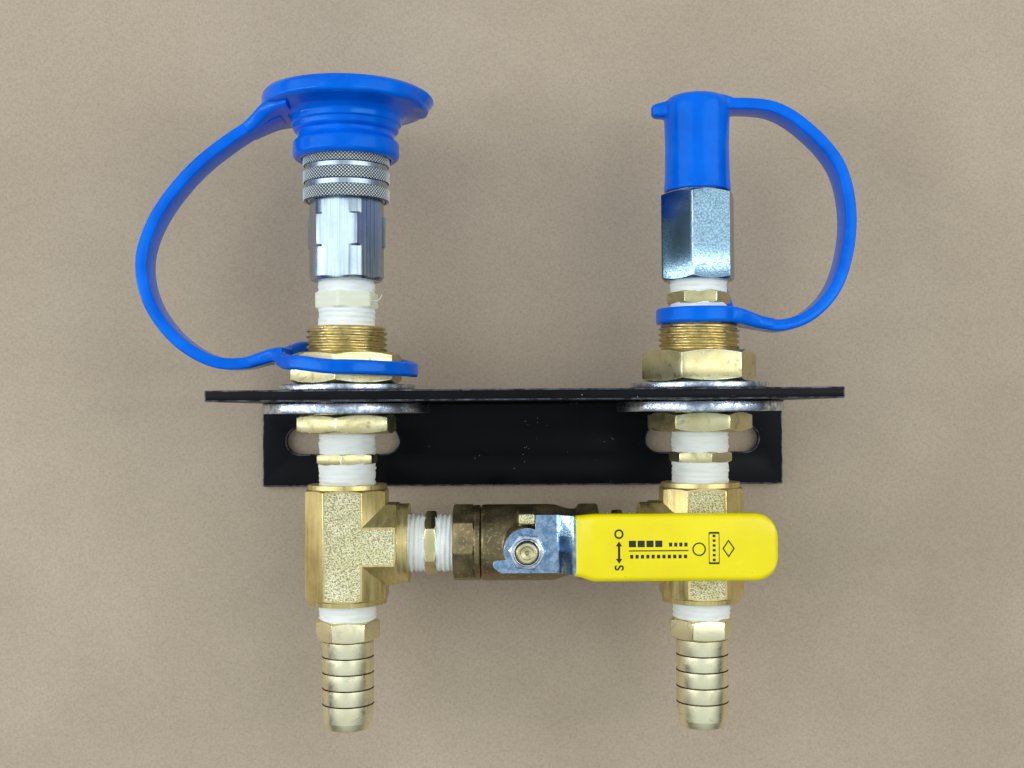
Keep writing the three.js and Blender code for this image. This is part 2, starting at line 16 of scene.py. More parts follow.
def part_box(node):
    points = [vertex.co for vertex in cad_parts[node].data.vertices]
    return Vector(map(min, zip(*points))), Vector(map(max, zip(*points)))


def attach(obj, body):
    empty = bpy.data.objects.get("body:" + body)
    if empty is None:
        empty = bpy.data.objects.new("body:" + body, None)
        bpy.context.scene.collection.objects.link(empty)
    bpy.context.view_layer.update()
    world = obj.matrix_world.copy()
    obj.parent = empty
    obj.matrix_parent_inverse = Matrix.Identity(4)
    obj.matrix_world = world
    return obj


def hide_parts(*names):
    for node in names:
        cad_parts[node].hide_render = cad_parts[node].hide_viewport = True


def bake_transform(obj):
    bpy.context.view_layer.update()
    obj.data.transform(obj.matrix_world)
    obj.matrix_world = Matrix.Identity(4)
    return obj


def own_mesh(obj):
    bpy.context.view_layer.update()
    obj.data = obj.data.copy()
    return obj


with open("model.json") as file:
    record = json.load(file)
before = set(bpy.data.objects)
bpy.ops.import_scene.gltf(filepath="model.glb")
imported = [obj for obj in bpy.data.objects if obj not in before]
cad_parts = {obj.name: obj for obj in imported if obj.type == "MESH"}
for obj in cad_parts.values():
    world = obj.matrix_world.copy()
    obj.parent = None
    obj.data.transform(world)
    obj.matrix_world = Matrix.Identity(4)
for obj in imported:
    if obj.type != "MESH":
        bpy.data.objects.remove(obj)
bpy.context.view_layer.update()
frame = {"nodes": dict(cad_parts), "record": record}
MM = 0.001

# ---------------------------------------------------------------- places, from the CAD nodes' boxes


def low(node):
    return np.array(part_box(node)[0]) / MM


def high(node):
    return np.array(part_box(node)[1]) / MM


def middle(node):
    return (low(node) + high(node)) / 2


def span(node, axis=1):
    return low(node)[axis], high(node)[axis]


def width(node):
    return high(node)[0] - low(node)[0]


def along_valve(node):
    """A node's ends along the pipeline, from the middle of the valve."""
    return low(node)[0] - VALVE_X, high(node)[0] - VALVE_X


COLUMN_X = {"left": middle("washer_lower_left")[0], "right": middle("washer_lower_right")[0]}
AXIS_Z = middle("washer_lower_left")[2]
VALVE_Y = middle("nipple_valve_left")[1]
VALVE_X = middle("valve_ball")[0]
PLATE_Z = low("handle_plate")[2]

ALONG_X = Matrix(((0, 1, 0, 0), (-1, 0, 0, 0), (0, 0, 1, 0), (0, 0, 0, 1)))
ALONG_Z = Matrix(((1, 0, 0, 0), (0, 0, -1, 0), (0, 1, 0, 0), (0, 0, 0, 1)))
COLUMN = {side: Matrix.Translation((x, 0, AXIS_Z)) for side, x in COLUMN_X.items()}
PIPELINE = Matrix.Translation((0, VALVE_Y, AXIS_Z)) @ ALONG_X
VALVE = Matrix.Translation((VALVE_X, VALVE_Y, AXIS_Z)) @ ALONG_X
STEM = Matrix.Translation((VALVE_X, VALVE_Y, 0)) @ ALONG_Z
HANDLE = Matrix.Translation((VALVE_X, VALVE_Y, 0))
AS_MODELLED = Matrix.Identity(4)

# ---------------------------------------------------------------- sizes that pieces share, in mm

FLOW_R, SOCKET_R, HOLE_R = 7.5, 10.8, 16.2
NIPPLE_FLATS = 21.2
TAPE_R, TAPE_PITCH = 10.75, 1.814
OCTAGON_FLATS, OCTAGON_LENGTH, OCTAGON_CORNER = 28.0, 8.2, 80
STOP_TOP = 82.4
STRAP_WIDTH, STRAP_THICKNESS = 13.2, 4.4
PRINT_Z = high("handle_grip")[2] + 0.02
PRINT_SPAN = PRINT_Z - 0.05, PRINT_Z + 0.03

# ---------------------------------------------------------------- materials

MIX_FACTOR, MIX_A, MIX_B, MIX_RESULT = 0, 6, 7, 2  # the colour sockets of Blender's Mix node


class Nodes:
    """Short calls that add nodes to a tree and join them."""

    def __init__(self, tree):
        self.tree = tree

    def put(self, value, socket):
        """Links a socket to another, or sets its number, vector or colour."""
        if isinstance(value, bpy.types.NodeSocket):
            self.tree.links.new(value, socket)
        else:
            socket.default_value = (*value, 1) if socket.type == "RGBA" else value

    def node(self, kind, **inputs):
        node = self.tree.nodes.new("ShaderNode" + kind)
        for key, value in inputs.items():
            self.put(value, node.inputs[key.replace("_", " ").title()])
        return node

    def vector_maths(self, operation, *operands):
        maths = self.node("VectorMath")
        maths.operation = operation
        for operand, socket in zip(operands, maths.inputs):
            self.put(operand, socket)
        return maths.outputs

    def ramp(self, value, *stops):
        """stops are (position, grey or colour)."""
        ramp = self.node("ValToRGB", fac=value)
        elements = ramp.color_ramp.elements
        while len(elements) < len(stops):
            elements.new(0.5)
        for element, (position, colour) in zip(elements, stops):
            element.position = position
            element.color = (*colour, 1) if isinstance(colour, tuple) else (colour, colour, colour, 1)
        return ramp.outputs["Color"]

    def mix(self, factor, a, b, blend="MIX"):
        mixer = self.node("Mix")
        mixer.data_type = "RGBA"
        mixer.blend_type = blend
        for value, socket in ((factor, MIX_FACTOR), (a, MIX_A), (b, MIX_B)):
            self.put(value, mixer.inputs[socket])
        return mixer.outputs[MIX_RESULT]


class Paint(Nodes):
    """A material in nodes."""

    def __init__(self, name, **values):
        self.material = bpy.data.materials.new(name)
        self.material.use_nodes = True
        super().__init__(self.material.node_tree)
        self.shader = self.tree.nodes["Principled BSDF"]
        self.coordinates = self.node("TexCoord").outputs["Object"]
        for key, value in values.items():
            self.shader.inputs[key.replace("_", " ").title().replace("Ior", "IOR")].default_value = value

    def noise(self, scale, detail=4.0, roughness=0.55, stretch=None, distortion=0.0):
        where = self.coordinates
        if stretch:
            where = self.node("Mapping", scale=stretch, vector=where).outputs["Vector"]
        return self.node("TexNoise", scale=scale, detail=detail, roughness=roughness, distortion=distortion,
                         vector=where).outputs["Fac"]

    def distance_from_axis(self, x_mm, z_mm, start_mm, end_mm):
        """0 to 1 between two distances from an axis along Y."""
        offset = self.vector_maths("SUBTRACT", self.coordinates, (x_mm * MM, 0, z_mm * MM))["Vector"]
        flat = self.vector_maths("MULTIPLY", offset, (1, 0, 1))["Vector"]
        length = self.vector_maths("LENGTH", flat)["Value"]
        spread = self.node("MapRange", from_min=start_mm * MM, from_max=end_mm * MM, value=length)
        return spread.outputs["Result"]

    def drift(self, value, start, end, a, b, most=1.0):
        """Goes from a towards b, at most by that share, as value goes from start to end."""
        return self.mix(self.ramp(value, (start, 0.0), (end, most)), a, b)

    def specks(self, scale, core, rim, patches, rarity):
        """Small dots with soft rims, only in the patches where a second noise is high."""
        distance = self.node("TexVoronoi", scale=scale, vector=self.coordinates).outputs["Distance"]
        dots = self.ramp(distance, (core, 1.0), (rim, 0.0))
        places = self.ramp(self.noise(patches, 2), (rarity, 0.0), (rarity + 0.04, 1.0))
        return self.mix(1.0, dots, places, "MULTIPLY")

    def colour(self, socket):
        self.put(socket, self.shader.inputs["Base Color"])

    def roughness(self, value, lowest, highest):
        self.put(self.ramp(value, (0.35, lowest), (0.65, highest)), self.shader.inputs["Roughness"])

    def bump(self, value, distance_mm, strength=1.0):
        """Adds a height to the bumps so far; each one bends the normal that the last one left."""
        bump = self.node("Bump", strength=strength, distance=distance_mm * MM, height=value)
        target = self.shader.inputs["Normal"]
        if target.is_linked:
            self.put(target.links[0].from_socket, bump.inputs["Normal"])
        self.put(bump.outputs["Normal"], target)

    def fine_grain(self, scale=1500, distance_mm=0.012, strength=0.4):
        self.bump(self.noise(scale, 3), distance_mm, strength)


def machined_brass(name, pale, deep, tarnish, lathe_axis=1):
    """Turned brass: rings left by the tool, a soft colour drift and grey-brown tarnish."""
    p = Paint(name, metallic=1.0)
    patches = p.noise(170, 6, 0.7, distortion=0.6)
    base = p.drift(p.noise(90, 3), 0.35, 0.68, pale, deep)
    p.colour(p.drift(patches, 0.56, 0.72, base, tarnish, 0.85))
    p.roughness(patches, 0.24, 0.46)
    stretch = [25.0, 25.0, 25.0]
    stretch[lathe_axis] = 2600.0
    p.bump(p.noise(1.0, 2, stretch=stretch), 0.015, 0.35)
    p.fine_grain(1500, 0.02, 0.25)
    return p.material


def forged_brass():
    p = Paint("forged_brass_sides", metallic=0.8)
    streak = p.noise(1.0, 4, stretch=(900, 60, 300))
    base = p.drift(p.noise(80, 4, 0.6), 0.3, 0.7, (0.8, 0.65, 0.27), (0.55, 0.42, 0.14))
    p.colour(p.drift(streak, 0.45, 0.75, base, (0.86, 0.78, 0.46), 0.6))
    p.roughness(streak, 0.26, 0.44)
    p.bump(streak, 0.03, 0.4)
    p.bump(p.noise(700, 4), 0.05, 0.5)
    return p.material


def sandy_brass():
    """The tee's unmachined front and back faces, with the grain of the forging die."""
    p = Paint("forged_brass_sand", metallic=0.55)
    grain = p.noise(2000, 3, 0.65)
    pale = p.drift(p.noise(120, 3), 0.35, 0.65, (0.98, 0.96, 0.64), (0.84, 0.79, 0.45))
    p.colour(p.mix(p.ramp(grain, (0.43, 0.9), (0.53, 0.0)), pale, (0.27, 0.23, 0.1)))
    p.roughness(grain, 0.62, 0.46)
    p.bump(grain, 0.12, 0.8)
    return p.material


def mottled(name, noise, stops, roughness, grain=None, **values):
    """One noise drives both the colour and the roughness."""
    p = Paint(name, **values)
    patches = p.noise(*noise)
    p.colour(p.ramp(patches, *stops))
    p.roughness(patches, *roughness)
    if grain:
        p.fine_grain(*grain)
    return p.material


def plain_metal(name, colour, roughness):
    stops = (0.35, tuple(c * 0.8 for c in colour)), (0.65, colour)
    return mottled(name, (500, 4), stops, (roughness * 0.8, roughness * 1.3), (1500,), metallic=1.0)


def plain_plastic(name, colour, roughness):
    stops = (0.35, tuple(c * 0.85 for c in colour)), (0.65, colour)
    return mottled(name, (300, 3), stops, (roughness * 0.85, roughness * 1.15), (1200,))


def cast_bronze():
    p = Paint("cast_bronze", metallic=0.85)
    grain = p.noise(900, 5, 0.65)
    clouds = p.noise(110, 4, 0.6)
    dark = p.drift(clouds, 0.34, 0.66, (0.17, 0.14, 0.075), (0.36, 0.28, 0.14))
    p.colour(p.drift(grain, 0.55, 0.68, dark, (0.62, 0.5, 0.24), 0.85))
    p.roughness(clouds, 0.34, 0.52)
    p.bump(grain, 0.12, 0.7)
    p.bump(p.noise(220, 3), 0.2, 0.4)
    return p.material


def zinc(name, pale, shade, mottle, depth, roughness=(0.16, 0.34)):
    """Zinc plate: cool bluish metal whose slightly uneven surface breaks its reflections up."""
    p = Paint(name, metallic=1.0)
    patches = p.noise(mottle, 5, 0.62, distortion=0.4)
    p.colour(p.drift(patches, 0.38, 0.62, pale, shade))
    p.roughness(patches, *roughness)
    p.bump(patches, depth, 0.8)
    p.fine_grain(1800)
    return p.material


def bright_steel():
    """Turned and milled steel with fine lines along the coupler."""
    p = Paint("bright_steel", metallic=1.0)
    lines = p.noise(1.0, 3, 0.6, stretch=(1500.0, 14.0, 1500.0))
    base = p.drift(p.noise(140, 3), 0.35, 0.65, (0.5, 0.6, 0.68), (0.42, 0.52, 0.61))
    p.colour(p.mix(p.ramp(lines, (0.42, 0.7), (0.5, 0.0)), base, (0.3, 0.38, 0.46)))
    p.roughness(lines, 0.26, 0.38)
    p.bump(lines, 0.006, 0.5)
    return p.material


def knurled_steel():
    """Painted highlight on the diamonds' crests and painted shade in the valleys between them, set by
    distance from the axis.
    """
    p = Paint("bright_steel_knurl", metallic=0.3, roughness=0.22)
    outer = width("coupler_sleeve") / 2
    height = p.distance_from_axis(COLUMN_X["left"], AXIS_Z, outer - 1, outer)
    # painted shade in the valleys, painted highlight on the crests
    p.colour(p.ramp(height, (0.57, (0.012, 0.018, 0.025)), (0.76, (0.92, 1.0, 1.0))))
    p.fine_grain()
    return p.material


def black_coat():
    """Satin powder coat with fine orange peel, dust specks and pale scuffs."""
    p = Paint("black_coat", specular_ior_level=0.1)
    clouds = p.noise(60, 4)
    base = p.drift(clouds, 0.35, 0.65, (0.003, 0.0034, 0.005), (0.0055, 0.0062, 0.009))
    scuffs = p.noise(1.0, 5, 0.75, stretch=(60, 700, 700))
    dusty = p.drift(scuffs, 0.68, 0.82, base, (0.09, 0.092, 0.1), 0.25)
    p.colour(p.mix(p.specks(420, 0.05, 0.09, patches=150, rarity=0.56), dusty, (0.42, 0.44, 0.47)))
    p.roughness(clouds, 0.28, 0.42)
    p.bump(p.noise(1100, 2), 0.03, 0.5)
    return p.material


def blue_rubber():
    """Soft moulded vinyl: saturated blue, a faint bloom and tiny specks of dirt."""
    p = Paint("blue_rubber", specular_ior_level=0.35, specular_tint=(0.2, 0.6, 1.0, 1))
    clouds = p.noise(70, 4, 0.6)
    base = p.drift(clouds, 0.34, 0.66, (0.0, 0.12, 0.74), (0.001, 0.165, 0.9))
    p.colour(p.drift(p.noise(900, 3, 0.7), 0.7, 0.76, base, (0.01, 0.03, 0.13), 0.7))
    p.roughness(clouds, 0.13, 0.24)
    p.bump(p.noise(600, 3), 0.03, 0.35)
    p.bump(p.noise(90, 2), 0.12, 0.3)
    return p.material


def yellow_vinyl():
    """Glossy dipped vinyl with soft waves and a few dark specks."""
    p = Paint("yellow_vinyl", coat_weight=0.2, coat_roughness=0.15, specular_ior_level=0.35)
    clouds = p.noise(60, 3)
    base = p.drift(clouds, 0.35, 0.65, (0.95, 0.79, 0.0), (1.0, 0.87, 0.0))
    p.colour(p.mix(p.specks(330, 0.035, 0.07, patches=190, rarity=0.54), base, (0.12, 0.09, 0.02)))
    p.roughness(clouds, 0.2, 0.3)
    p.bump(p.noise(75, 2), 0.15, 0.35)
    return p.material


def ptfe_tape(name, warm=0.0):
    """White thread tape, faintly green; stretched over a hexagon it lets the brass show through."""
    p = Paint(name, subsurface_weight=0.1, subsurface_scale=0.001, specular_ior_level=0.25)
    folds = p.noise(1.0, 4, 0.6, stretch=(140, 900, 140))
    p.colour(p.mix(p.ramp(folds, (0.45, warm), (0.75, 0.4 + warm)), (0.95, 1.0, 0.98), (0.84, 0.86, 0.58)))
    p.roughness(folds, 0.42, 0.6)
    p.bump(folds, 0.1, 0.8)
    p.fine_grain(1500, 0.02)
    return p.material


PALE, DEEP, TARNISH = (0.7, 0.66, 0.4), (0.58, 0.51, 0.25), (0.26, 0.23, 0.13)
BRASS = machined_brass("machined_brass", PALE, DEEP, TARNISH)
BRASS_X = machined_brass("machined_brass_pipeline", PALE, DEEP, TARNISH, lathe_axis=0)
BARB_BRASS = machined_brass("machined_brass_barb", (0.99, 0.95, 0.66), (0.92, 0.85, 0.54), (0.5, 0.48, 0.42))
# a dark brown for the foot of each barb: painted shade in the gap between the bands
GROOVE_SHADE = plain_metal("machined_brass_groove_shade", (0.17, 0.12, 0.05), 0.5)
# a deeper gold for thread roots: a painted reflection of the brass in itself
THREAD_ROOT_REFLECTION = plain_metal("machined_brass_root_reflection", (0.86, 0.7, 0.33), 0.32)
FORGED, SAND, BRONZE = forged_brass(), sandy_brass(), cast_bronze()
# a paler brass for bevelled edges: a painted highlight along them
EDGE_HIGHLIGHT = mottled("forged_brass_edge_highlight", (400, 5), ((0.35, (0.84, 0.72, 0.34)), (0.65, (0.97, 0.92, 0.66))),
               (0.16, 0.32), (1600, 0.02, 0.3), metallic=1.0)
ZINC = zinc("zinc_plate", (0.78, 0.84, 0.92), (0.28, 0.36, 0.5), mottle=420, depth=0.07)
PLATE_ZINC = zinc("zinc_handle", (0.42, 0.57, 0.74), (0.15, 0.28, 0.45), 520, 0.06, roughness=(0.12, 0.26))
PLUG_ZINC = zinc("zinc_plug", (0.22, 0.34, 0.42), (0.08, 0.15, 0.22), 1500, 0.014, roughness=(0.1, 0.2))
STEEL, KNURL = bright_steel(), knurled_steel()
COAT = black_coat()
# scuffed pale edges of the coat, with a painted bluish highlight along them
EDGE_WEAR_AND_HIGHLIGHT = mottled("black_coat_edge_wear_and_highlight", (260, 6, 0.7), ((0.42, (0.02, 0.022, 0.028)), (0.78, (0.3, 0.33, 0.38))),
               (0.25, 0.4), metallic=0.35, specular_ior_level=0.2)
BLUE, YELLOW = blue_rubber(), yellow_vinyl()
TAPE, TAPE_STRETCHED = ptfe_tape("ptfe_tape"), ptfe_tape("ptfe_tape_stretched", warm=0.6)
INK = plain_plastic("black_ink", (0.012, 0.012, 0.012), 0.5)
FINISHES = {
    "spring_steel": plain_metal("spring_steel", (0.5, 0.5, 0.52), 0.3),
    "chrome_ball": plain_metal("chrome_ball", (0.78, 0.79, 0.82), 0.08),
    "seat_polymer": plain_plastic("seat_polymer", (0.86, 0.85, 0.78), 0.45),
    "seal_rubber": plain_plastic("seal_rubber", (0.02, 0.02, 0.022), 0.6),
    "machined_brass": BRASS, "bright_steel": STEEL, "zinc_plate": ZINC, "cast_bronze": BRONZE,
    "forged_brass": FORGED, "black_coat": COAT, "blue_rubber": BLUE, "yellow_vinyl": YELLOW,
}

# ---------------------------------------------------------------- meshes


def in_scene(name, data):
    obj = bpy.data.objects.new(name, data)
    bpy.context.scene.collection.objects.link(obj)
    return obj


@contextmanager
def editing(mesh):
    """A mesh as a bmesh, which is written back at the end."""
    shape = bmesh.new()
    shape.from_mesh(mesh)
    yield shape
    shape.to_mesh(mesh)
    shape.free()


def new_object(name, vertices_mm, faces, place, materials, sharp=35.0):
    """A mesh from millimetres in the axes of place, with its faces turned outwards."""
    mesh = bpy.data.meshes.new(name)
    mesh.from_pydata([tuple(v) for v in vertices_mm], [], faces)
    mesh.transform(Matrix.Scale(MM, 4) @ place)
    with editing(mesh) as shape:
        bmesh.ops.remove_doubles(shape, verts=shape.verts, dist=1e-6)
        bmesh.ops.recalc_face_normals(shape, faces=shape.faces)
    for material in materials if isinstance(materials, (list, tuple)) else [materials]:
        mesh.materials.append(material)
    obj = in_scene(name, mesh)
    shade(obj, sharp)
    return obj


def shade(obj, sharp):
    """Smooth shading, except over edges sharper than an angle."""
    obj.data.polygons.foreach_set("use_smooth", [True] * len(obj.data.polygons))
    obj.data.set_sharp_from_angle(angle=math.radians(sharp))


def skin(name, rings, place, materials, closed=False, sharp=35.0):
    """Joins rings of equal length into a surface; the ends are capped, or the last meets the first."""
    count, size = len(rings), len(rings[0])
    vertices = [tuple(v) for ring in rings for v in ring]
    faces = []
    for i in range(count if closed else count - 1):
        a, b = i * size, (i + 1) % count * size
        for j in range(size):
            k = (j + 1) % size
            faces.append((a + j, a + k, b + k, b + j))
    if not closed:
        for start in (0, (count - 1) * size):
            centre = len(vertices)
            vertices.append(tuple(np.mean(vertices[start : start + size], axis=0)))
            faces += [(start + j, start + (j + 1) % size, centre) for j in range(size)]
    return new_object(name, vertices, faces, place, materials, sharp)


def circle(r, y, angles):
    """A ring about Y; r and y are numbers, or one value for each angle."""
    ring = np.zeros((len(angles), 3))
    ring[:, 0] = r * np.cos(angles)
    ring[:, 1] = y
    ring[:, 2] = r * np.sin(angles)
    return ring


def circles(pairs, angles):
    return [circle(r, y, angles) for r, y in pairs]


def even_angles(count):
    return np.arange(count) * 2 * math.pi / count


def raised(y, *profile):
    """A profile whose heights count from y."""
    return [(r, y + rise) for r, rise in profile]


def softened(profile, radius, closed):
    """Rounds the corners of a profile of [r, y] points with small quadratic curves."""
    points = [np.array(p, float) for p in profile]
    result = []
    for i, point in enumerate(points):
        if not closed and i in (0, len(points) - 1):
            result.append(point)
            continue
        before, after = points[i - 1] - point, points[(i + 1) % len(points)] - point
        reach = min(radius, 0.4 * np.linalg.norm(before), 0.4 * np.linalg.norm(after))
        start = point + before / np.linalg.norm(before) * reach
        end = point + after / np.linalg.norm(after) * reach
        for t in (0.0, 0.35, 0.65, 1.0):
            result.append((1 - t) ** 2 * start + 2 * t * (1 - t) * point + t * t * end)
    return result


def turned(name, profile, place, materials, count=96, soft=0.25, sharp=35.0):
    """A lathe piece. Its profile closes on itself, or starts and ends on the axis."""
    closed = profile[0][0] > 0
    angles = even_angles(count)
    points = softened(profile, soft, closed) if soft else profile
    points = points if closed else points[1:-1]
    rings = [circle(r, y, angles) for r, y in points]
    return skin(name, rings, place, materials, closed, sharp)


def corner_angles(corner_degrees, sides=6, per_side=16, extra=()):
    """Angles round a prism that hold every corner exactly, and extra degrees either side of each."""
    step = 360 / sides
    angles = set()
    for i in range(sides):
        corner = corner_degrees + i * step
        angles.update(round(corner + k * step / per_side, 4) for k in range(per_side))
        angles.update(round(corner + sign * e, 4) for e in extra for sign in (-1, 1))
    return np.radians(sorted(a % 360 for a in angles))


def prism_radius(flats, corner_degrees, angles, sides=6):
    half = math.pi / sides
    turn = np.mod(angles - math.radians(corner_degrees), 2 * half) - half
    return flats / 2 / np.cos(turn)


def hex_rings(flats, span_y, corner, angles, sides=6, slope=0.4):
    """The outside of a nut, whose conical end bevels cut its corners into arcs."""
    y0, y1 = span_y
    outline = prism_radius(flats, corner, angles, sides)
    face = flats * 0.487
    drop = np.maximum(outline - face, 0) * slope
    return circles([(face, y0), (outline, y0 + drop), (outline, y1 - drop), (face, y1)], angles)


def evaluated(obj):
    """An object's mesh with its modifiers applied."""
    graph = bpy.context.evaluated_depsgraph_get()
    return bpy.data.meshes.new_from_object(obj.evaluated_get(graph), depsgraph=graph)


def baked(obj):
    mesh = evaluated(obj)
    obj.modifiers.clear()
    obj.data = mesh


def bevelled(obj, width_mm, segments=2, angle=35.0, material=-1, sharp=35.0):
    bevel = obj.modifiers.new("Bevel", "BEVEL")
    bevel.width = width_mm * MM
    bevel.segments = segments
    bevel.limit_method = "ANGLE"
    bevel.angle_limit = math.radians(angle)
    bevel.material = material
    baked(obj)
    shade(obj, sharp)
    return obj


def cut(target, cutters):
    for cutter in cutters:
        boolean = target.modifiers.new("Boolean", "BOOLEAN")
        boolean.operation = "DIFFERENCE"
        boolean.solver = "EXACT"
        boolean.object = cutter
        baked(target)
        bpy.data.objects.remove(cutter)


def merged(target, others):
    """Puts several meshes into one object, each face keeping its material, without cutting them."""
    materials = target.data.materials
    with editing(target.data) as shape:
        for other in others:
            finishes = list(other.data.materials)
            for finish in finishes:
                if finish.name not in materials:
                    materials.append(finish)
            for face in other.data.polygons if finishes else ():
                face.material_index = materials.find(finishes[face.material_index].name)
            shape.from_mesh(other.data)
            bpy.data.objects.remove(other)
    return target


def fused(obj, voxel_mm, smooth=4):
    """Melts overlapping shells into one skin with soft joins, as casting and moulding leave them."""
    remesh = obj.modifiers.new("Remesh", "REMESH")
    remesh.mode = "VOXEL"
    remesh.voxel_size = voxel_mm * MM
    relax = obj.modifiers.new("Smooth", "SMOOTH")
    relax.factor = 0.5
    relax.iterations = smooth
    baked(obj)
    shade(obj, 60)


def swept(name, centre_line, section, place, materials, up=Vector((0, 0, 1))):
    """Sweeps a section of (across, up) points along a line; section may be a function of 0..1."""
    points = [Vector(p) for p in centre_line]
    rings = []
    for i, point in enumerate(points):
        ahead = (points[min(i + 1, len(points) - 1)] - points[max(i - 1, 0)]).normalized()
        across = ahead.cross(up).normalized()
        outline = section(i / (len(points) - 1)) if callable(section) else section
        rings.append([tuple(point + across * a + up * b) for a, b in outline])
    return skin(name, rings, place, materials)


def rounded_rectangle(width, height, radius, per_corner=5):
    outline = []
    for sx, sy, start in ((1, 1, 0), (-1, 1, 90), (-1, -1, 180), (1, -1, 270)):
        for k in range(per_corner):
            angle = math.radians(start + 90 * k / (per_corner - 1))
            outline.append((
                sx * (width / 2 - radius) + radius * math.cos(angle),
                sy * (height / 2 - radius) + radius * math.sin(angle),
            ))
    return outline


def smooth_line(points, per_piece):
    """A centripetal Catmull-Rom curve through the points, as the CAD's straps follow."""
    p = [np.array(q, float) for q in points]
    p = [2 * p[0] - p[1]] + p + [2 * p[-1] - p[-2]]
    line = []
    for a, b, c, d in zip(p, p[1:], p[2:], p[3:]):
        t0 = 0.0
        t1 = t0 + np.linalg.norm(b - a) ** 0.5
        t2 = t1 + np.linalg.norm(c - b) ** 0.5
        t3 = t2 + np.linalg.norm(d - c) ** 0.5
        for k in range(per_piece):
            t = t1 + (t2 - t1) * k / per_piece
            ab, bc, cd = between(a, b, t0, t1, t), between(b, c, t1, t2, t), between(c, d, t2, t3, t)
            line.append(between(between(ab, bc, t0, t2, t), between(bc, cd, t1, t3, t), t1, t2, t))
    line.append(p[-2])
    return line


def between(a, b, start, end, t):
    return a + (b - a) * (t - start) / (end - start)


def ease(t):
    t = min(max(t, 0.0), 1.0)
    return t * t * (3 - 2 * t)


def stands_for(obj, slot, node, body="root"):
    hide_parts(node)
    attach(obj, body)
    return obj


# ---------------------------------------------------------------- nuts, threads and tape


def nut_shape(name, flats, span_y, bore, corner, place, material, countersink=0.6, sides=6, edge=0.22):
    """A prism with a bore and conical end bevels that cut its corners into arcs."""
    angles = corner_angles(corner, sides)
    y0, y1 = span_y
    wide = bore + countersink
    rings = [circle(wide, y0, angles), *hex_rings(flats, span_y, corner, angles, sides)]
    rings += circles([(wide, y1), (bore, y1 - countersink), (bore, y0 + countersink)], angles)
    # the bevels of brass nuts take the paler edge brass, a painted highlight
    bright = material if material in (ZINC, BRONZE) else EDGE_HIGHLIGHT
    obj = skin(name, rings, place, [material, bright], closed=True, sharp=22)
    return bevelled(obj, edge, 2, angle=22, material=1, sharp=22)


def thread_rings(span_y, crest, root, pitch, angles, chamfer=0.0, per_turn=12):
    """Rings of a helical V thread; chamfer takes the crests down towards the upper end."""
    y0, y1 = span_y
    rings = []
    steps = int((y1 - y0) / pitch * per_turn)
    for i in range(steps + 1):
        y = y0 + (y1 - y0) * i / steps
        phase = np.mod(y / pitch - angles / (2 * math.pi), 1)
        ridge = np.clip(1.35 * (1 - np.abs(2 * phase - 1)) - 0.15, 0, 1)
        limit = crest - max(0.0, y - (y1 - chamfer)) * 0.9
        rings.append(circle(np.minimum(root + (crest - root) * ridge, limit), y, angles))
    return rings


def inside_coloured(obj, place, radius, material):
    """Gives the faces nearer the axis than a radius another material."""
    inverse = place.inverted()
    obj.data.materials.append(material)
    for face in obj.data.polygons:
        spot = inverse @ (face.center / MM)
        if math.hypot(spot.x, spot.z) < radius:
            face.material_index = len(obj.data.materials) - 1


def tube_between(name, rings, bore, place, material):
    """Closes outside rings with a bore."""
    ends = circles([(bore, rings[-1][0][1]), (bore, rings[0][0][1])], even_angles(len(rings[0])))
    return skin(name, [*rings, *ends], place, material, True)


def tape(name, span_y, place, seed, hexagon=None, ridges=0.2):
    """Thread tape: the thread shows through as soft ridges, and the layers' edges are ragged."""
    angles = even_angles(112)
    turn = angles / (2 * math.pi)
    y0, y1 = span_y[0] - 0.4, span_y[1] + 0.4
    steps = max(8, int((y1 - y0) / 0.22))
    rings = []
    for i in range(steps + 1):
        y = y0 + (y1 - y0) * i / steps
        ridge = 0.5 + 0.5 * np.cos(2 * math.pi * (y / TAPE_PITCH - turn))
        lap = np.mod(y / 5.3 + turn + seed * 0.37, 1)
        rough = np.array([noise.noise(Vector((math.cos(a) * 2.1, y * 0.55 + seed * 9, math.sin(a) * 2.1)))
                          for a in angles])
        r = TAPE_R + ridges * (ridge - 0.5) + 0.2 * lap + 0.34 * rough
        if hexagon:
            flats, corner, (h0, h1) = hexagon
            over = ease((y - h0 + 1.0) / 1.0) * ease((h1 + 1.0 - y) / 1.0)
            outline = prism_radius(flats, corner, angles) + 0.35 + 0.2 * rough
            r = np.maximum(r, r + (np.minimum(outline, 12.4) - r) * over)
        at_an_edge = min(i, steps - i) < 3
        rings.append(circle(r, y + (0.8 * rough if at_an_edge else 0.0), angles))
    rings += circles([(TAPE_R - 1, y1), (TAPE_R - 1, y0)], angles)
    obj = skin(name, rings, place, [TAPE, TAPE_STRETCHED], closed=True, sharp=50)
    if hexagon:
        for face in obj.data.polygons:
            face.material_index = int(h0 - 0.3 < face.center.y / MM < h1 + 0.3)
        strand = smooth_line([(10.4, 38.8, 5.4), (11.7, 38.6, 5.8), (12.9, 38.9, 6.0), (13.7, 39.8, 5.9),
                              (14.1, 41.0, 5.6)], 4)
        merged(obj, [swept("strand", strand, rounded_rectangle(0.22, 0.9, 0.1, 3), place, TAPE)])
    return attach(obj, "root")


def nipple(name, node_span, hexagon, corner, place, material):
    body = nut_shape(name, NIPPLE_FLATS, hexagon, FLOW_R, corner, place, material)
    y0, y1 = node_span
    rings = circles([(9.6, y0), (10.2, y0 + 0.8), (10.3, y1 - 0.8), (9.6, y1)], even_angles(96))
    thread = tube_between(name + "_thread", rings, FLOW_R, place, material)
    return stands_for(merged(body, [thread]), "machined_brass", name)


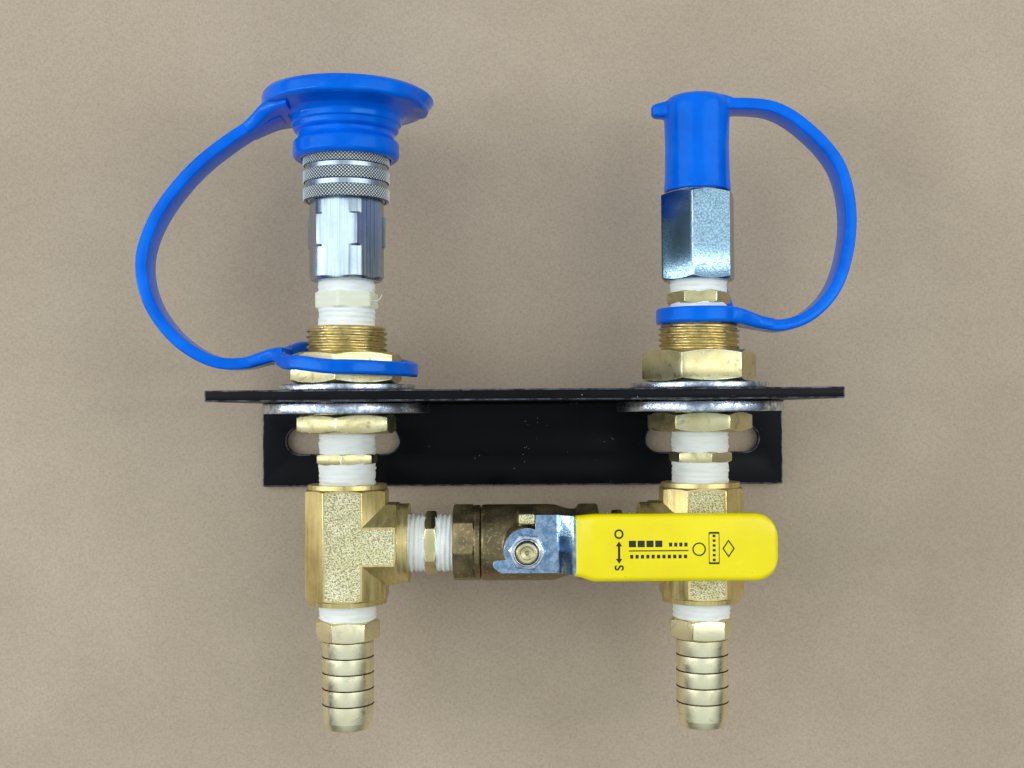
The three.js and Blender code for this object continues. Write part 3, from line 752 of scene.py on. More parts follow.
def bulkhead(side, corner):
    name, place = f"bulkhead_{side}", COLUMN[side]
    bottom, top = span(name)
    under_washer = low(f"washer_lower_{side}")[1] - 0.3
    body = nut_shape(name, 34.8, (bottom, under_washer), SOCKET_R, corner, place, BRASS, 0.7)
    shank, crest, root, pitch = 15.0, 15.6, 14.35, 2.117
    angles = even_angles(96)
    rings = circles([(shank, under_washer - 0.5), (shank, 17.4)], angles)
    rings += thread_rings((17.5, top), crest, root, pitch, angles, chamfer=1.5)
    rings += circles([(11.5, top), (SOCKET_R, top - 0.7)], angles)
    thread = tube_between(name + "_thread", rings, SOCKET_R, place, BRASS)
    # the thread roots get the painted reflection colour
    inside_coloured(thread, place, 14.9, THREAD_ROOT_REFLECTION)
    stands_for(merged(body, [thread]), "machined_brass", name)


def washer(name, place):
    ring_piece(name, place, HOLE_R, width(name) / 2, ZINC, "zinc_plate", soft=0.45, count=96)


# ---------------------------------------------------------------- bracket


def extruded(name, outline, span_z, place, materials, sharp=35.0):
    """A prism between two heights along Z, on an outline of (x, y) points."""
    count = len(outline)
    vertices = [(x, y, z) for z in span_z for x, y in outline]
    faces = [(i, (i + 1) % count, count + (i + 1) % count, count + i) for i in range(count)]
    faces += [tuple(range(count)), tuple(range(count, 2 * count))]
    return new_object(name, vertices, faces, place, materials, sharp)


def arc(centre, r, start, end, count=8):
    cx, cy = centre
    return [(cx + r * math.cos(a), cy + r * math.sin(a)) for a in np.radians(np.linspace(start, end, count))]


def bracket():
    lo, hi = low("bracket"), high("bracket")
    thick = hi[1]
    outer_r, inner_r = 5.0, 1.4
    section = [(lo[1], 0), *arc((hi[1] - outer_r, outer_r), outer_r, -90, 0), (hi[1], hi[2]), (0, hi[2])]
    section += [*arc((-inner_r, thick + inner_r), inner_r, 0, -90), (lo[1], thick)]
    to_world = Matrix(((0, 0, 1, 0), (1, 0, 0, 0), (0, 1, 0, 0), (0, 0, 0, 1)))
    body = extruded("bracket", section, (lo[0], hi[0]), to_world, [COAT, EDGE_WEAR_AND_HIGHLIGHT])
    cutters = []
    for opening in frame["record"]["physics"]["openings"][:2]:
        x, y = [sum(corner[k] for corner in opening["box_m"]) / 2 / MM for k in (0, 1)]
        end_r = 5.65
        half = 23.8 - end_r
        outline = arc((x + half, y), end_r, -90, 90, 16) + arc((x - half, y), end_r, 90, 270, 16)
        cutters.append(extruded("slot_cutter", outline, (-3, thick + 3), AS_MODELLED, COAT))
    hole = [(0, -2), (HOLE_R, -2), (HOLE_R, 8), (0, 8)]
    cutters += [turned("hole_cutter", hole, place, COAT, soft=0) for place in COLUMN.values()]
    cut(body, cutters)
    # the bevels take the scuffed edge colour, which also holds a painted bluish highlight
    bevelled(body, 0.5, 3, material=1)
    stands_for(body, "black_coat", "bracket")


# ---------------------------------------------------------------- tees and barbs


def tee(side):
    """A forged tee with machined ends; the branch points along its own +X."""
    name = f"tee_{side}"
    y0, y1 = span(name)
    half = (y1 - y0) / 2
    deep, flat = 15.2, 7.3  # half the depth, and half the width of its flat front
    reach = width(name) - deep
    turn = Matrix.Rotation(0 if side == "left" else math.pi, 4, "Y")
    place = Matrix.Translation((COLUMN_X[side], middle(name)[1], AXIS_Z)) @ turn
    rings = []
    for z, w in ((-deep, flat), (-flat, deep), (flat, deep), (deep, flat)):
        rings.append([
            (-w, -half, z), (w, -half, z), (w, -w, z), (reach, -w, z),
            (reach, w, z), (w, w, z), (w, half, z), (-w, half, z),
        ])
    vertices = [v for ring in rings for v in ring]
    faces = [tuple(range(8)), tuple(range(24, 32))]
    faces += [(8 * i + j, 8 * i + (j + 1) % 8, 8 * i + 8 + (j + 1) % 8, 8 * i + 8 + j)
              for i in range(3) for j in range(8)]
    body = new_object(name, vertices, faces, place, [FORGED, EDGE_HIGHLIGHT, SAND])

    def shoulder(end, depth):
        """Turns the corners down by an end."""
        return raised(end, (15.1, 1 - depth), (17.2, -depth), (20, -depth), (20, 1), (15.1, 1))

    def mouth(end):
        return raised(end, (0, -11), (SOCKET_R, -11), (SOCKET_R, -0.8), (SOCKET_R + 1.2, 0.4), (0, 0.4))

    lower, branch = place @ Matrix.Rotation(math.pi, 4, "X"), place @ ALONG_X
    cuts = [(shoulder(half, 2.7), place), (shoulder(half, 2.7), lower), (mouth(half), place)]
    cuts += [(mouth(half), lower), (shoulder(reach, 4.6), branch), (mouth(reach), branch)]
    cut(body, [turned("cutter", profile, where, FORGED, soft=0) for profile, where in cuts])
    # the bevel takes the paler edge brass, a painted highlight along the tee's edges
    bevelled(body, 0.55, 3, angle=25, material=1, sharp=30)
    inset_flats(body, AXIS_Z, deep)
    stands_for(body, "forged_brass", name)


def inset_flats(body, centre_z, deep):
    """Sets the grainy die surface a little into the front and back flats."""
    with editing(body.data) as shape:
        flats = [f for f in shape.faces
                 if abs(f.normal.z) > 0.999 and abs(f.calc_center_median().z / MM - centre_z) > deep - 0.05]
        bmesh.ops.inset_region(shape, faces=flats, thickness=0.7 * MM, depth=-0.12 * MM, use_even_offset=True)
        for face in flats:
            face.material_index = 2
    shade(body, 30)


def hose_barb(side, corner):
    name, place = f"hose_barb_{side}", COLUMN[side]
    end, top = span(name)
    body = nut_shape(name, NIPPLE_FLATS, (end + 33.8, end + 41.5), FLOW_R, corner, place, BARB_BRASS)
    profile = raised(end, (FLOW_R, 1.2), (FLOW_R + 0.5, 0.1), (8.0, 0), (8.75, 0.5), (9.4, 3.0))
    for step in (9.5, 15.5, 21.5, 27.5):
        profile += raised(end + step, (9.96, 0), (9.2, 0.05), (9.2, 0.3), (9.8, 0.4))
    profile += raised(end, (10.0, 33.4), (9.6, 34.2), (FLOW_R, 34.2))
    shank = turned(name + "_shank", profile, place, BARB_BRASS, soft=0.05, sharp=25)
    # the faces at the foot of each barb get painted shade
    shank.data.materials.append(GROOVE_SHADE)
    for face in shank.data.polygons:
        y = face.center.y / MM - end
        if y > 6 and (y - 9.4) % 6 < 0.55:  # the dark foot of each barb, every 6 mm
            face.material_index = 1
    neck_profile = raised(end, (FLOW_R, 41), (10.5, 41), (10.5, 42.6), (10.1, 43))
    neck_profile += raised(top, (10.1, -0.6), (9.6, 0), (FLOW_R, 0))
    tapered_end = turned(name + "_neck", neck_profile, place, BARB_BRASS)
    stands_for(merged(body, [shank, tapered_end]), "machined_brass", name)


# ---------------------------------------------------------------- ball valve


def valve_body():
    name = "valve_body"
    x0, x1 = along_valve(name)
    body = turned(name, [
        (0, x0), (14.0, x0), (14.55, x0 + 0.8), (14.55, 9.5), (14.2, 12), (13.2, 14.6), (12.6, 17.4),
        (12.8, 19), (12.8, x1 - 2), (0, x1 - 2),
    ], VALVE, BRONZE, soft=0.6)
    angles = corner_angles(OCTAGON_CORNER, 8, 6)
    rings = hex_rings(OCTAGON_FLATS, (x1 - OCTAGON_LENGTH, x1), OCTAGON_CORNER, angles, 8, slope=0.5)
    octagon = bevelled(skin("end", rings, VALVE, BRONZE, sharp=22), 0.5, 2, angle=22)
    bonnet_top = high("valve_gland")[2] - 5.8
    bonnet_profile = [(0, 56), (10.5, 56), (8.3, 66), (8.0, bonnet_top), (0, bonnet_top)]
    bonnet = turned("bonnet", bonnet_profile, STEM, BRONZE)
    posts = []  # the handle's stop, and the web that carries it
    for inner_y, top in ((9.7, STOP_TOP), (0, bonnet_top - 2)):
        outline = [(-2.9, inner_y), (2.9, inner_y), (2.9, 13.3), (-2.9, 13.3)]
        posts.append(extruded("post", outline, (58, top), HANDLE, BRONZE))
    pad_place = VALVE @ Matrix.Rotation(math.radians(38), 4, "Y") @ Matrix.Translation((0, 22.3, 0))
    pad = extruded("pad", rounded_rectangle(8.6, 9.2, 1.8), (8, 14.9), pad_place, BRONZE)
    bevelled(pad, 0.5)
    merged(body, [octagon, bonnet, *posts, pad])
    fused(body, 0.42, smooth=3)
    chamber = turned("chamber", [
        (0, x0 - 1), (11.8, x0 - 1), (11.8, -10.9), (10, -10.9), (10, 11.1), (6.5, 11.1), (6.5, 15),
        (SOCKET_R, 15.2), (SOCKET_R, x1 - 0.8), (SOCKET_R + 1, x1 + 0.3), (SOCKET_R + 1, x1 + 2), (0, x1 + 2),
    ], VALVE, BRONZE, soft=0)
    shaft_profile = [(0, 58), (4.25, 58), (4.25, 65.5), (6.9, 65.5), (6.9, 76), (0, 76)]
    cut(body, [chamber, turned("shaft", shaft_profile, STEM, BRONZE, soft=0)])
    body.data.materials.append(SAND)
    for face in body.data.polygons:
        z = face.center.z / MM
        if z > STOP_TOP - 1.4 or (z > 74.5 and face.normal.y < -0.8):
            face.material_index = 1
    shade(body, 50)
    stands_for(body, "cast_bronze", name)


def valve_insert():
    name = "valve_insert"
    x0, x1 = along_valve(name)
    body = nut_shape(name, OCTAGON_FLATS, (x0, x0 + OCTAGON_LENGTH), SOCKET_R, OCTAGON_CORNER, VALVE,
                     BRONZE, 0.9, sides=8, edge=0.6)
    collar = raised(x0, (SOCKET_R, 7.4), (13.4, 7.4), (14.35, 8.4), (14.35, 10.1), (13.9, 10.5), (11.3, 10.5))
    collar += [(11.3, x1), (6.5, x1), (6.5, -15.4), (SOCKET_R, -15.2)]
    merged(body, [turned(name + "_collar", collar, VALVE, BRONZE, soft=0.3)])
    stands_for(body, "cast_bronze", name)


def stem_and_nuts():
    foot, top = span("valve_stem", 2)
    profile = [(0, foot + 2.4), (3.95, foot + 2.4), (3.95, top - 0.5)]
    profile += raised(top, (3.45, 0), (2.5, 0), (2.2, -0.45), (0.9, -0.6), (0.35, -1.3), (0, -1.3))
    stem = turned("valve_stem", profile, STEM, BRASS, soft=0.12, count=64)
    tang = extruded("tang", rounded_rectangle(6.8, 2.2, 0.3), (foot, foot + 3.4), HANDLE, BRASS)
    stands_for(merged(stem, [tang]), "machined_brass", "valve_stem", body="valve_handle")

    bottom, top = span("valve_gland", 2)
    gland = nut_shape("valve_gland", 13.0, (bottom + 2, top), 4.25, 12, STEM, BRASS, 0.4)
    skirt = turned("skirt", raised(bottom, (4.25, 0), (6.6, 0), (6.6, 2.9), (4.25, 2.9)), STEM, BRASS)
    stands_for(merged(gland, [skirt]), "machined_brass", "valve_gland")

    bottom, top = span("handle_nut", 2)
    nut = nut_shape("handle_nut", 11.6, (bottom, top), 4.25, 6, STEM, ZINC, 0.3, edge=0.3)
    collar = raised(top, (4.3, -0.6), (5.1, -0.6), (5.05, 0.35), (4.75, 0.7), (4.3, 0.7))
    merged(nut, [turned("collar", collar, STEM, ZINC, soft=0.2)])
    stands_for(nut, "zinc_plate", "handle_nut", body="valve_handle")


def handle_plate():
    """A flat plate with an ear and a shoulder for the stop, bent up under the grip."""
    thick, rise = 2.5, 5.6
    bend, end = 11.4, 16.3
    outline = [(84, -5), (84, 9), (83, 10), (18.5, 10), (16.6, 13), (3.2, 13)]
    outline += arc((0, 0), 8.3, 67.3, 202.7, 26)
    outline += [(-11.2, -3.25), (-12.0, -3.9), (-12.25, -4.9), (-12.0, -5.9), (-10.2, -7.4), (-9.0, -7.9)]
    outline += [(16.6, -7.9), (18.5, -6), (83, -6)]
    # the bevels take the paler zinc: a painted highlight along the plate's edges
    plate = extruded("handle_plate", outline, (0, thick), AS_MODELLED, [PLATE_ZINC, ZINC])

    def past(x, knee):
        """How far x lies past a knee, which is rounded over 1 mm on each side."""
        return (x - knee + 1) ** 2 / 4 if abs(x - knee) < 1 else max(0.0, x - knee)

    with editing(plate.data) as shape:
        for x in np.concatenate([np.linspace(knee - 1, knee + 1, 6) for knee in (bend, end)]):
            geometry = [*shape.verts, *shape.edges, *shape.faces]
            bmesh.ops.bisect_plane(shape, geom=geometry, plane_co=(x * MM, 0, 0), plane_no=(1, 0, 0))
        for vertex in shape.verts:
            x = vertex.co.x / MM
            vertex.co.z += rise * (past(x, bend) - past(x, end)) / (end - bend) * MM
    plate.data.transform(Matrix.Translation(Vector((VALVE_X, VALVE_Y, PLATE_Z)) * MM))
    bevelled(plate, 0.35, 3, angle=40, material=1)
    stands_for(plate, "zinc_plate", "handle_plate", body="valve_handle")


def grip_limits(x):
    """The vinyl's edges and top at a distance x from the stem: (low y, high y, low z, high z)."""
    x0, x1 = along_valve("handle_grip")
    y0, y1 = [y - VALVE_Y for y in span("handle_grip")]
    z0, z1 = span("handle_grip", 2)

    def rounding(radius):
        """How far an edge has drawn in by x where the far end is rounded by a radius."""
        return radius - math.sqrt(max(0.0, radius**2 - max(0.0, x - (x1 - radius)) ** 2))

    narrow = 1 - ease((x - x0) / 8.0)
    inset, droop = rounding(8.2), rounding(1.9)
    top = z1 - 1.9 * (1 - ease((x - x0) / 8.6)) - 0.9 * droop
    return y0 + 1.7 * narrow + inset, y1 - 0.7 * narrow - inset, z0 + 0.9 * droop, top


def handle_grip():
    x0, x1 = along_valve("handle_grip")
    stations = [x0 + 0.2, x0 + 0.5, *np.linspace(x0 + 1, x0 + 12, 24), *np.linspace(x0 + 13, x1 - 9, 40)]
    stations += list(x1 - 8.2 + 8.2 * np.sin(np.linspace(0.05, math.pi / 2, 26)) - 0.002)
    rings = []
    for i, x in enumerate(stations):
        y0, y1, z0, z1 = grip_limits(x)
        shrink = {0: 0.5, 1: 0.15}.get(i, 0.0)
        wide, tall = y1 - y0 - 2 * shrink, z1 - z0 - 2 * shrink
        section = rounded_rectangle(wide, tall, min(2.3, tall * 0.48, wide * 0.45), 8)
        ring = []
        for a, b in section:
            lip = 1 - ease((x - x0) / 4)
            wave = lip * (0.45 * math.sin(a * 0.75 + 0.6) + 0.3 * math.sin(a * 1.7 + b))
            ring.append((x + wave, (y0 + y1) / 2 + a, (z0 + z1) / 2 + b))
        rings.append(ring)
    mouth = [(x0 + 1.6, y * 0.93 + 0.1, (z - rings[0][0][2]) * 0.55 + rings[0][0][2]) for _, y, z in rings[0]]
    grip = skin("handle_grip", [mouth, *rings], HANDLE, YELLOW, sharp=60)
    stands_for(grip, "yellow_vinyl", "handle_grip", body="valve_handle")


def print_on_grip():
    """Generic marks: O and S (open and shut) on a double arrow, rows of plain blocks, a line and outlines."""
    arrow = [(-1.15, -2.0), (0, -3.7), (1.15, -2.0), (0.4, -2.0), (0.4, 2.4), (1.15, 2.4), (0, 4.1),
             (-1.15, 2.4), (-0.4, 2.4), (-0.4, -2.0)]
    marks = [flat_mark([(x + 32.5, y) for x, y in arrow]), *blocks(1, 36.0, 57.0, 0.75, 0.4)]
    marks += blocks(4, 36.0, 38.5, 3.2, 2.3, step_x=3.1)
    marks += blocks(4, 50.2, 51.3, 2.9, 1.4, step_x=1.8)
    marks += blocks(11, 36.4, 37.5, -1.3, 1.3, step_x=1.9)
    marks += blocks(6, 65.6, 66.6, -2.6, 0.9, step_y=1.7)
    marks.append(frame_mark((60.8, 1.2), arc((0, 0), 2.4, 0, 360, 33)[:-1], 0.8))
    marks.append(frame_mark((66.1, 1.6), rounded_rectangle(3.8, 11.4, 0.4, 3), 0.88))
    marks.append(frame_mark((71.2, 1.4), [(0, -3.2), (2.2, 0), (0, 3.2), (-2.2, 0)], 0.76))
    marks += [letter("O", 34.0, 6.7), letter("S", 34.0, -5.2)]
    print_ = merged(marks[0], marks[1:])
    print_.name = "grip_print"
    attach(print_, "valve_handle")


def blocks(count, x0, x1, y, height, step_x=0.0, step_y=0.0):
    """Plain blocks in a row."""
    marks = []
    for i in range(count):
        left, right, middle_y = x0 + step_x * i, x1 + step_x * i, y + step_y * i
        lower, upper = middle_y - height / 2, middle_y + height / 2
        marks.append(flat_mark([(left, lower), (right, lower), (right, upper), (left, upper)]))
    return marks


def flat_mark(outline):
    return extruded("mark", outline, PRINT_SPAN, HANDLE, INK)


def frame_mark(centre, outline, inner):
    cx, cy = centre
    foot, top = PRINT_SPAN
    rings = [[(cx + x * scale, cy + y * scale, z) for x, y in outline]
             for scale, z in ((1, foot), (1, top), (inner, top), (inner, foot))]
    return skin("mark", rings, HANDLE, INK, closed=True)


def letter(character, x, y):
    curve = bpy.data.curves.new("letter", "FONT")
    curve.body = character
    curve.size = 4.4 * MM
    curve.offset = 0.09 * MM
    curve.align_x = "CENTER"
    curve.extrude = 0.04 * MM
    outline = in_scene("letter", curve)
    mesh = evaluated(outline)
    bpy.data.objects.remove(outline)
    place = Matrix.Translation(Vector((VALVE_X + x, VALVE_Y + y, PRINT_Z)) * MM)
    mesh.transform(place @ Matrix.Rotation(math.pi / 2, 4, "Z"))
    return in_scene("letter", mesh)


# ---------------------------------------------------------------- coupler


def coupler_body():
    name, place = "coupler_body", COLUMN["left"]
    y0, y1 = span(name)
    corner, flats = 9, 27.0
    angles = corner_angles(corner, extra=(9.64,))
    outline = prism_radius(flats, corner, angles)
    outside = raised(y0, (12.7, 0), (13.4, 0.35), (14.4, 1.3))
    outside += [(14.4, 59.0), (15.35, 59.5), (15.7, 59.8), (15.7, 70.9), (15.35, 71.2), (14.4, 71.7),
                (14.4, 77.2), (13.6, 77.6)]
    rings = [circle(SOCKET_R + 0.5, y0, angles)]
    rings += circles([(np.minimum(outline, r), y) for r, y in outside], angles)
    rings += circles([(SOCKET_R, 77.6), (SOCKET_R, y0 + 0.5)], angles)
    hexagon = skin(name, rings, place, STEEL, True, 22)
    bevelled(hexagon, 0.16, 2, angle=24, sharp=24)
    barrel = turned(name + "_barrel", [
        (9.8, 76), (13, 76), (13, 77.6), (15, 77.6), (15, 80), (13.2, 80), (13.2, 101.3), (12.7, 101.3),
        (12.7, 102.5), (13.2, 102.5), (13.2, y1 - 0.6), (12.6, y1), (10.7, y1), (10.2, y1 - 0.5),
        (10.2, 90.4), (11.6, 90.4), (11.6, 87), (10.2, 87), (10.2, 85), (7.4, 85), (7.4, 83), (9.8, 81),
    ], place, STEEL, soft=0.15)
    stands_for(merged(hexagon, [barrel]), "bright_steel", name)


def coupler_sleeve():
    """Three diamond-knurled bands with smooth grooves between them."""
    name, place = "coupler_sleeve", COLUMN["left"]
    y0, y1 = span(name)
    outer = width(name) / 2
    groove = outer - 0.9
    count, step, depth = 150, 0.66, 0.5
    rows = [(outer - 0.7, y0, False), (outer - 0.35, y0 + 0.25, False)]
    for start, end, gap in ((y0 + 0.4, y0 + 4.6, 2.25), (84.7, 88.6, 2.05), (91.1, y1 - 0.5, None)):
        steps = int(round((end - start) / step))
        rows += [(outer, start + (end - start) * i / steps, True) for i in range(steps + 1)]
        if gap:
            rows += [(groove, end + rise, False) for rise in (0.45, 1.0, 1.6, gap)]
    rows += [(outer - 0.6, y1, False), (14.5, y1, False), (14.15, y1 - 0.35, False), (14.15, 92, False)]
    rows += [(15.4, 92, False), (15.4, y0 + 0.3, False), (15.7, y0, False)]
    vertices, faces = [], []
    for i, (r, y, knurled) in enumerate(rows):
        for j, angle in enumerate(even_angles(count)):
            radius = r - (depth if knurled and (i + j) % 2 == 0 else 0.0)
            vertices.append((radius * math.cos(angle), y, radius * math.sin(angle)))
            below, above, k = i * count, (i + 1) % len(rows) * count, (j + 1) % count
            a, b, c, d = below + j, below + k, above + k, above + j
            faces += [(a, b, d), (b, c, d)] if (i + j) % 2 else [(a, b, c), (a, c, d)]
    sleeve = new_object(name, vertices, faces, place, KNURL, sharp=14)
    inside_coloured(sleeve, place, outer - 0.6, STEEL)
    stands_for(sleeve, "bright_steel", name, body="sleeve")


def plug_body():
    name, place = "plug_body", COLUMN["right"]
    y0, y1 = span(name)
    corner, flats, hex_top = 46, 26.2, 80
    angles = corner_angles(corner)
    rings = [circle(SOCKET_R + 0.5, y0, angles), *hex_rings(flats, (y0, hex_top), corner, angles, slope=0.5)]
    rings += circles([(7.8, hex_top), (7.8, 60), (SOCKET_R, 60), (SOCKET_R, y0 + 0.5)], angles)
    # the bevels take the paler zinc: a painted highlight along the hexagon's edges
    hexagon = skin(name, rings, place, [PLUG_ZINC, ZINC], True, 22)
    bevelled(hexagon, 0.3, 3, angle=22, material=1, sharp=24)
    nose = turned(name + "_nose", [
        (7.8, 78), (10.9, 78), (10.9, 84), (9.9, 85), (9.9, 91.6), (8.9, 93), (8.9, 94.4), (9.9, 95.8),
        (9.9, y1 - 2.5), (8.6, y1), (6.1, y1), (5.6, y1 - 0.5), (5.6, 102.6), (7.8, 100.4),
    ], place, STEEL, soft=0.25)
    stands_for(merged(hexagon, [nose]), "bright_steel", name)


def poppet(name, place, head, seat, foot, nose, body):
    stem = 2.3
    obj = turned(name, [
        (0, foot), (stem, foot), (stem, seat - 4), (head, seat - 4), (head, seat - 1.6), (stem + 2.4, seat),
        (stem + 1, seat + 0.4), (stem + 1, nose), (0, nose),
    ], place, BRASS, soft=0.3, count=64)
    stands_for(obj, "machined_brass", name, body=body)


def ring_piece(name, place, inner, outer, material, slot, body="root", soft=0.3, count=64):
    y0, y1 = span(name)
    profile = [(inner, y0), (outer, y0), (outer, y1), (inner, y1)]
    stands_for(turned(name, profile, place, material, count, soft), slot, name, body=body)


def spring(name, side, radius, wire, turns):
    """A coil wound evenly between the ends of its piece."""
    foot, head = span(name)
    line = []
    for t in np.linspace(0, 1, turns * 32 + 1):
        angle = 2 * math.pi * turns * t
        y = foot + wire + (head - foot - 2 * wire) * t
        line.append((radius * math.cos(angle), y, radius * math.sin(angle)))
    section = [(wire * math.cos(a), wire * math.sin(a)) for a in even_angles(10)]
    coil = swept(name, line, section, COLUMN[side], FINISHES["spring_steel"], up=Vector((0, 1, 0)))
    stands_for(coil, "spring_steel", name)
    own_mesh(coil)


def inner_pieces():
    """Seals, balls, springs and poppets, seen when a cap is off."""
    left, right = COLUMN["left"], COLUMN["right"]
    spring("sleeve_spring", "left", 14.3, 0.45, 4)
    spring("coupler_poppet_spring", "left", 6.6, 0.5, 4)
    spring("plug_poppet_spring", "right", 5.6, 0.5, 5)
    poppet("coupler_poppet", left, 8.6, 81.4, 61, 88, "coupler_valve")
    poppet("plug_poppet", right, 7.0, 101, 74, 107, "plug_valve")
    for name, place, radii, body, soft in (
        ("coupler_packer_seal", left, (9.9, 11.3), "root", 0.7),
        ("coupler_poppet_seal", left, (8.0, 9.2), "coupler_valve", 0.3),
        ("plug_poppet_seal", right, (6.8, 7.4), "plug_valve", 0.2),
    ):
        ring_piece(name, place, *radii, FINISHES["seal_rubber"], "seal_rubber", body, soft)
    ring_piece("sleeve_snap_ring", left, 12.95, 14.6, FINISHES["spring_steel"], "spring_steel", soft=0.2)
    for i in range(1, 7):
        name, r = f"locking_ball_{i}", 1.9
        centre = (Vector(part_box(name)[0]) + Vector(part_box(name)[1])) / 2
        profile = [(r * math.cos(a), r * math.sin(a)) for a in np.linspace(-math.pi / 2, math.pi / 2, 17)]
        profile = [(0, -r), *profile[1:-1], (0, r)]
        ball = turned(name, profile, Matrix.Translation(centre / MM), FINISHES["chrome_ball"], 32, soft=0)
        stands_for(ball, "chrome_ball", name)


# ---------------------------------------------------------------- dust caps and straps

CAP_ROUTE = [
    (-93.2, 111.6), (-96.5, 110.2), (-110.5, 102.2), (-127.3, 88.6), (-141, 70.2), (-145.8, 54.5),
    (-142.8, 38.6), (-131.9, 23.8), (-118, 15.8), (-106.5, 15.2), (-96.7, 18.1), (-94, 18.9),
]
PLUG_ROUTE = [
    (77.5, 113.4), (81.3, 113.6), (97, 112), (109.5, 104.2), (121.5, 90), (125.6, 73), (124, 54.6),
    (118.4, 40.6), (108.6, 31.4), (98.5, 28.4), (91, 29.6), (84.9, 31), (82, 31.4),
]


def strap(name, route):
    """A moulded strap: rounded edges, with its flat sides across the loop."""
    line = [(x, y, AXIS_Z) for x, y in smooth_line(route, 10)]
    section = rounded_rectangle(STRAP_THICKNESS, STRAP_WIDTH, 0.8, 5)
    obj = swept(name, line, section, AS_MODELLED, BLUE)
    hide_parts(name)
    lo, hi = low(name), high(name)
    ring_end, cap_end = [((lo[0] + hi[0]) / 2 * MM, y * MM, AXIS_Z * MM) for y in (lo[1] + 10, hi[1] - 6)]
    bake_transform(obj)
    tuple(ring_end)
    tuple(cap_end)


def band_ring(name, side, radii, height, rise, neck):
    """A strap's ring: a rounded band round the column, and a neck that narrows into the strap.

    rise gives the height of the band's middle at an angle."""
    inner, outer = radii
    section = rounded_rectangle(outer - inner, height, 0.9, 5)
    middle_r = (inner + outer) / 2
    rings = []
    for angle in even_angles(160):
        x, z, y = math.cos(angle), math.sin(angle), rise(angle)
        rings.append([((middle_r + a) * x, y + b, (middle_r + a) * z) for a, b in section])
    band = skin(name, rings, COLUMN[side], BLUE, closed=True)
    fused(merged(band, [neck]), 0.4)
    stands_for(band, "blue_rubber", name)


def uneven_rise(angle):
    """The coupler ring is soft and lies unevenly: its heights every 45 degrees, as in the CAD."""
    heights = [12.2, 12.4, 12.9, 14.8, 18, 22, 20, 14.6]
    place = angle / (math.pi / 4)
    first = int(place) % 8
    return heights[first] + (heights[(first + 1) % 8] - heights[first]) * ease(place - int(place))


def flat_rise(y, lifted_degrees, lift):
    """A level ring with one short stretch pushed up."""
    def rise(angle):
        away = (math.degrees(angle) - lifted_degrees + 180) % 360 - 180
        return y + lift * math.exp(-((away / 11) ** 2))
    return rise


def neck(points, widths, heights):
    """The stretch between a ring and its strap; points are (x, y), as modelled."""

    def section(t):
        place = t * (len(widths) - 1)
        i = min(int(place), len(widths) - 2)
        f = place - i
        wide = widths[i] * (1 - f) + widths[i + 1] * f
        tall = heights[i] * (1 - f) + heights[i + 1] * f
        return rounded_rectangle(tall, wide, min(1.4, tall * 0.4), 5)

    line = [(x, y, AXIS_Z) for x, y in smooth_line(points, 6)]
    return swept("neck", line, section, AS_MODELLED, BLUE)


def coupler_cap():
    name, place = "coupler_cap", COLUMN["left"]
    y0, y1 = span(name)
    disc = width(name) / 2 - 1.2
    profile = softened([
        (0, y0 + 4), (8.6, y0 + 4), (9.6, y0 + 5.4), (9.6, 104.4), (17.1, 104.4), (17.1, y0), (19.5, y0),
        (20.5, y0 + 1.4), (20.5, 100.0), (18.6, 101.7), (18.5, 103.8), (19.6, 104.3), (20.2, 104.9),
        (20.5, 106.9), (21.2, 107.3), (21.4, 109.7), (23.4, 111.4), (27.5, 112.3), (30.6, 112.7),
        (31.7, 113.4), (disc, 114.6), (disc, y1 - 1.4), (disc - 1.3, y1), (disc - 5, y1 - 0.2),
        (disc - 6.5, y1 - 1.1), (6, y1 - 1.3), (0, y1 - 1.3),
    ], 0.7, False)
    angles = even_angles(160)
    from_tab = np.mod(angles + math.pi, 2 * math.pi) - math.pi
    from_strap = np.mod(angles, 2 * math.pi) - math.pi
    tab = np.clip(1.6 * np.exp(-((from_tab / 0.34) ** 4)), 0, 1)
    root = np.exp(-((from_strap / 0.3) ** 2))
    rings = []
    for r, y in profile[1:-1]:
        rim = ease((r - 26) / 6)
        upper = ease((y - y1 + 4.6) / 1.0)
        radius = r + rim * (1.9 * tab * upper + 0.3 * root)
        rings.append(circle(radius, y - rim * (1.0 * tab + 0.8 * root), angles))
    cap = skin(name, rings, place, BLUE, sharp=45)
    root_line = [(-88, 113.4), (-93, 112.6), (-97.5, 110.6), (-101.5, 107.9), (-105.5, 105.2)]
    strap_root = neck(root_line, [40, 33, 26, 19, 14.4], [5.6, 5.4, 5.2, 5.0, 4.7])
    stands_for(merged(cap, [strap_root]), "blue_rubber", name, body="coupler_dust_cap")


def plug_cap():
    name, place = "plug_cap", COLUMN["right"]
    y0, y1 = span(name)
    shell = turned(name, [
        (0, 110), (10.4, 110), (11.4, 109), (11.4, y0), (12.6, y0), (12.9, y0 + 0.8), (12.5, y0 + 6),
        (12.3, 98), (12.6, 108), (12.6, y1 - 4.2), (12.0, y1 - 2.0), (10.2, y1 - 0.6), (7, y1 - 0.1), (0, y1),
    ], place, BLUE, soft=1.0)
    tab = bar([(-8, 112.6), (-12, 112.4), (-15, 112.1), (-16.8, 112.0), (-17.7, 112.0)],
              [(6.6, 9), (6.2, 7.6), (5.6, 6.0), (5.0, 4.8), (3.2, 3.2)], 1.4, place)
    root = bar([(6, 114.6), (9, 114.4), (12, 114.0), (13.6, 113.7)],
               [(5.2, 17), (5.6, 15), (5.0, 13.2), (4.4, 12.2)], 1.5, place)
    fused(merged(shell, [tab, root]), 0.42)
    stands_for(shell, "blue_rubber", name, body="plug_dust_cap")


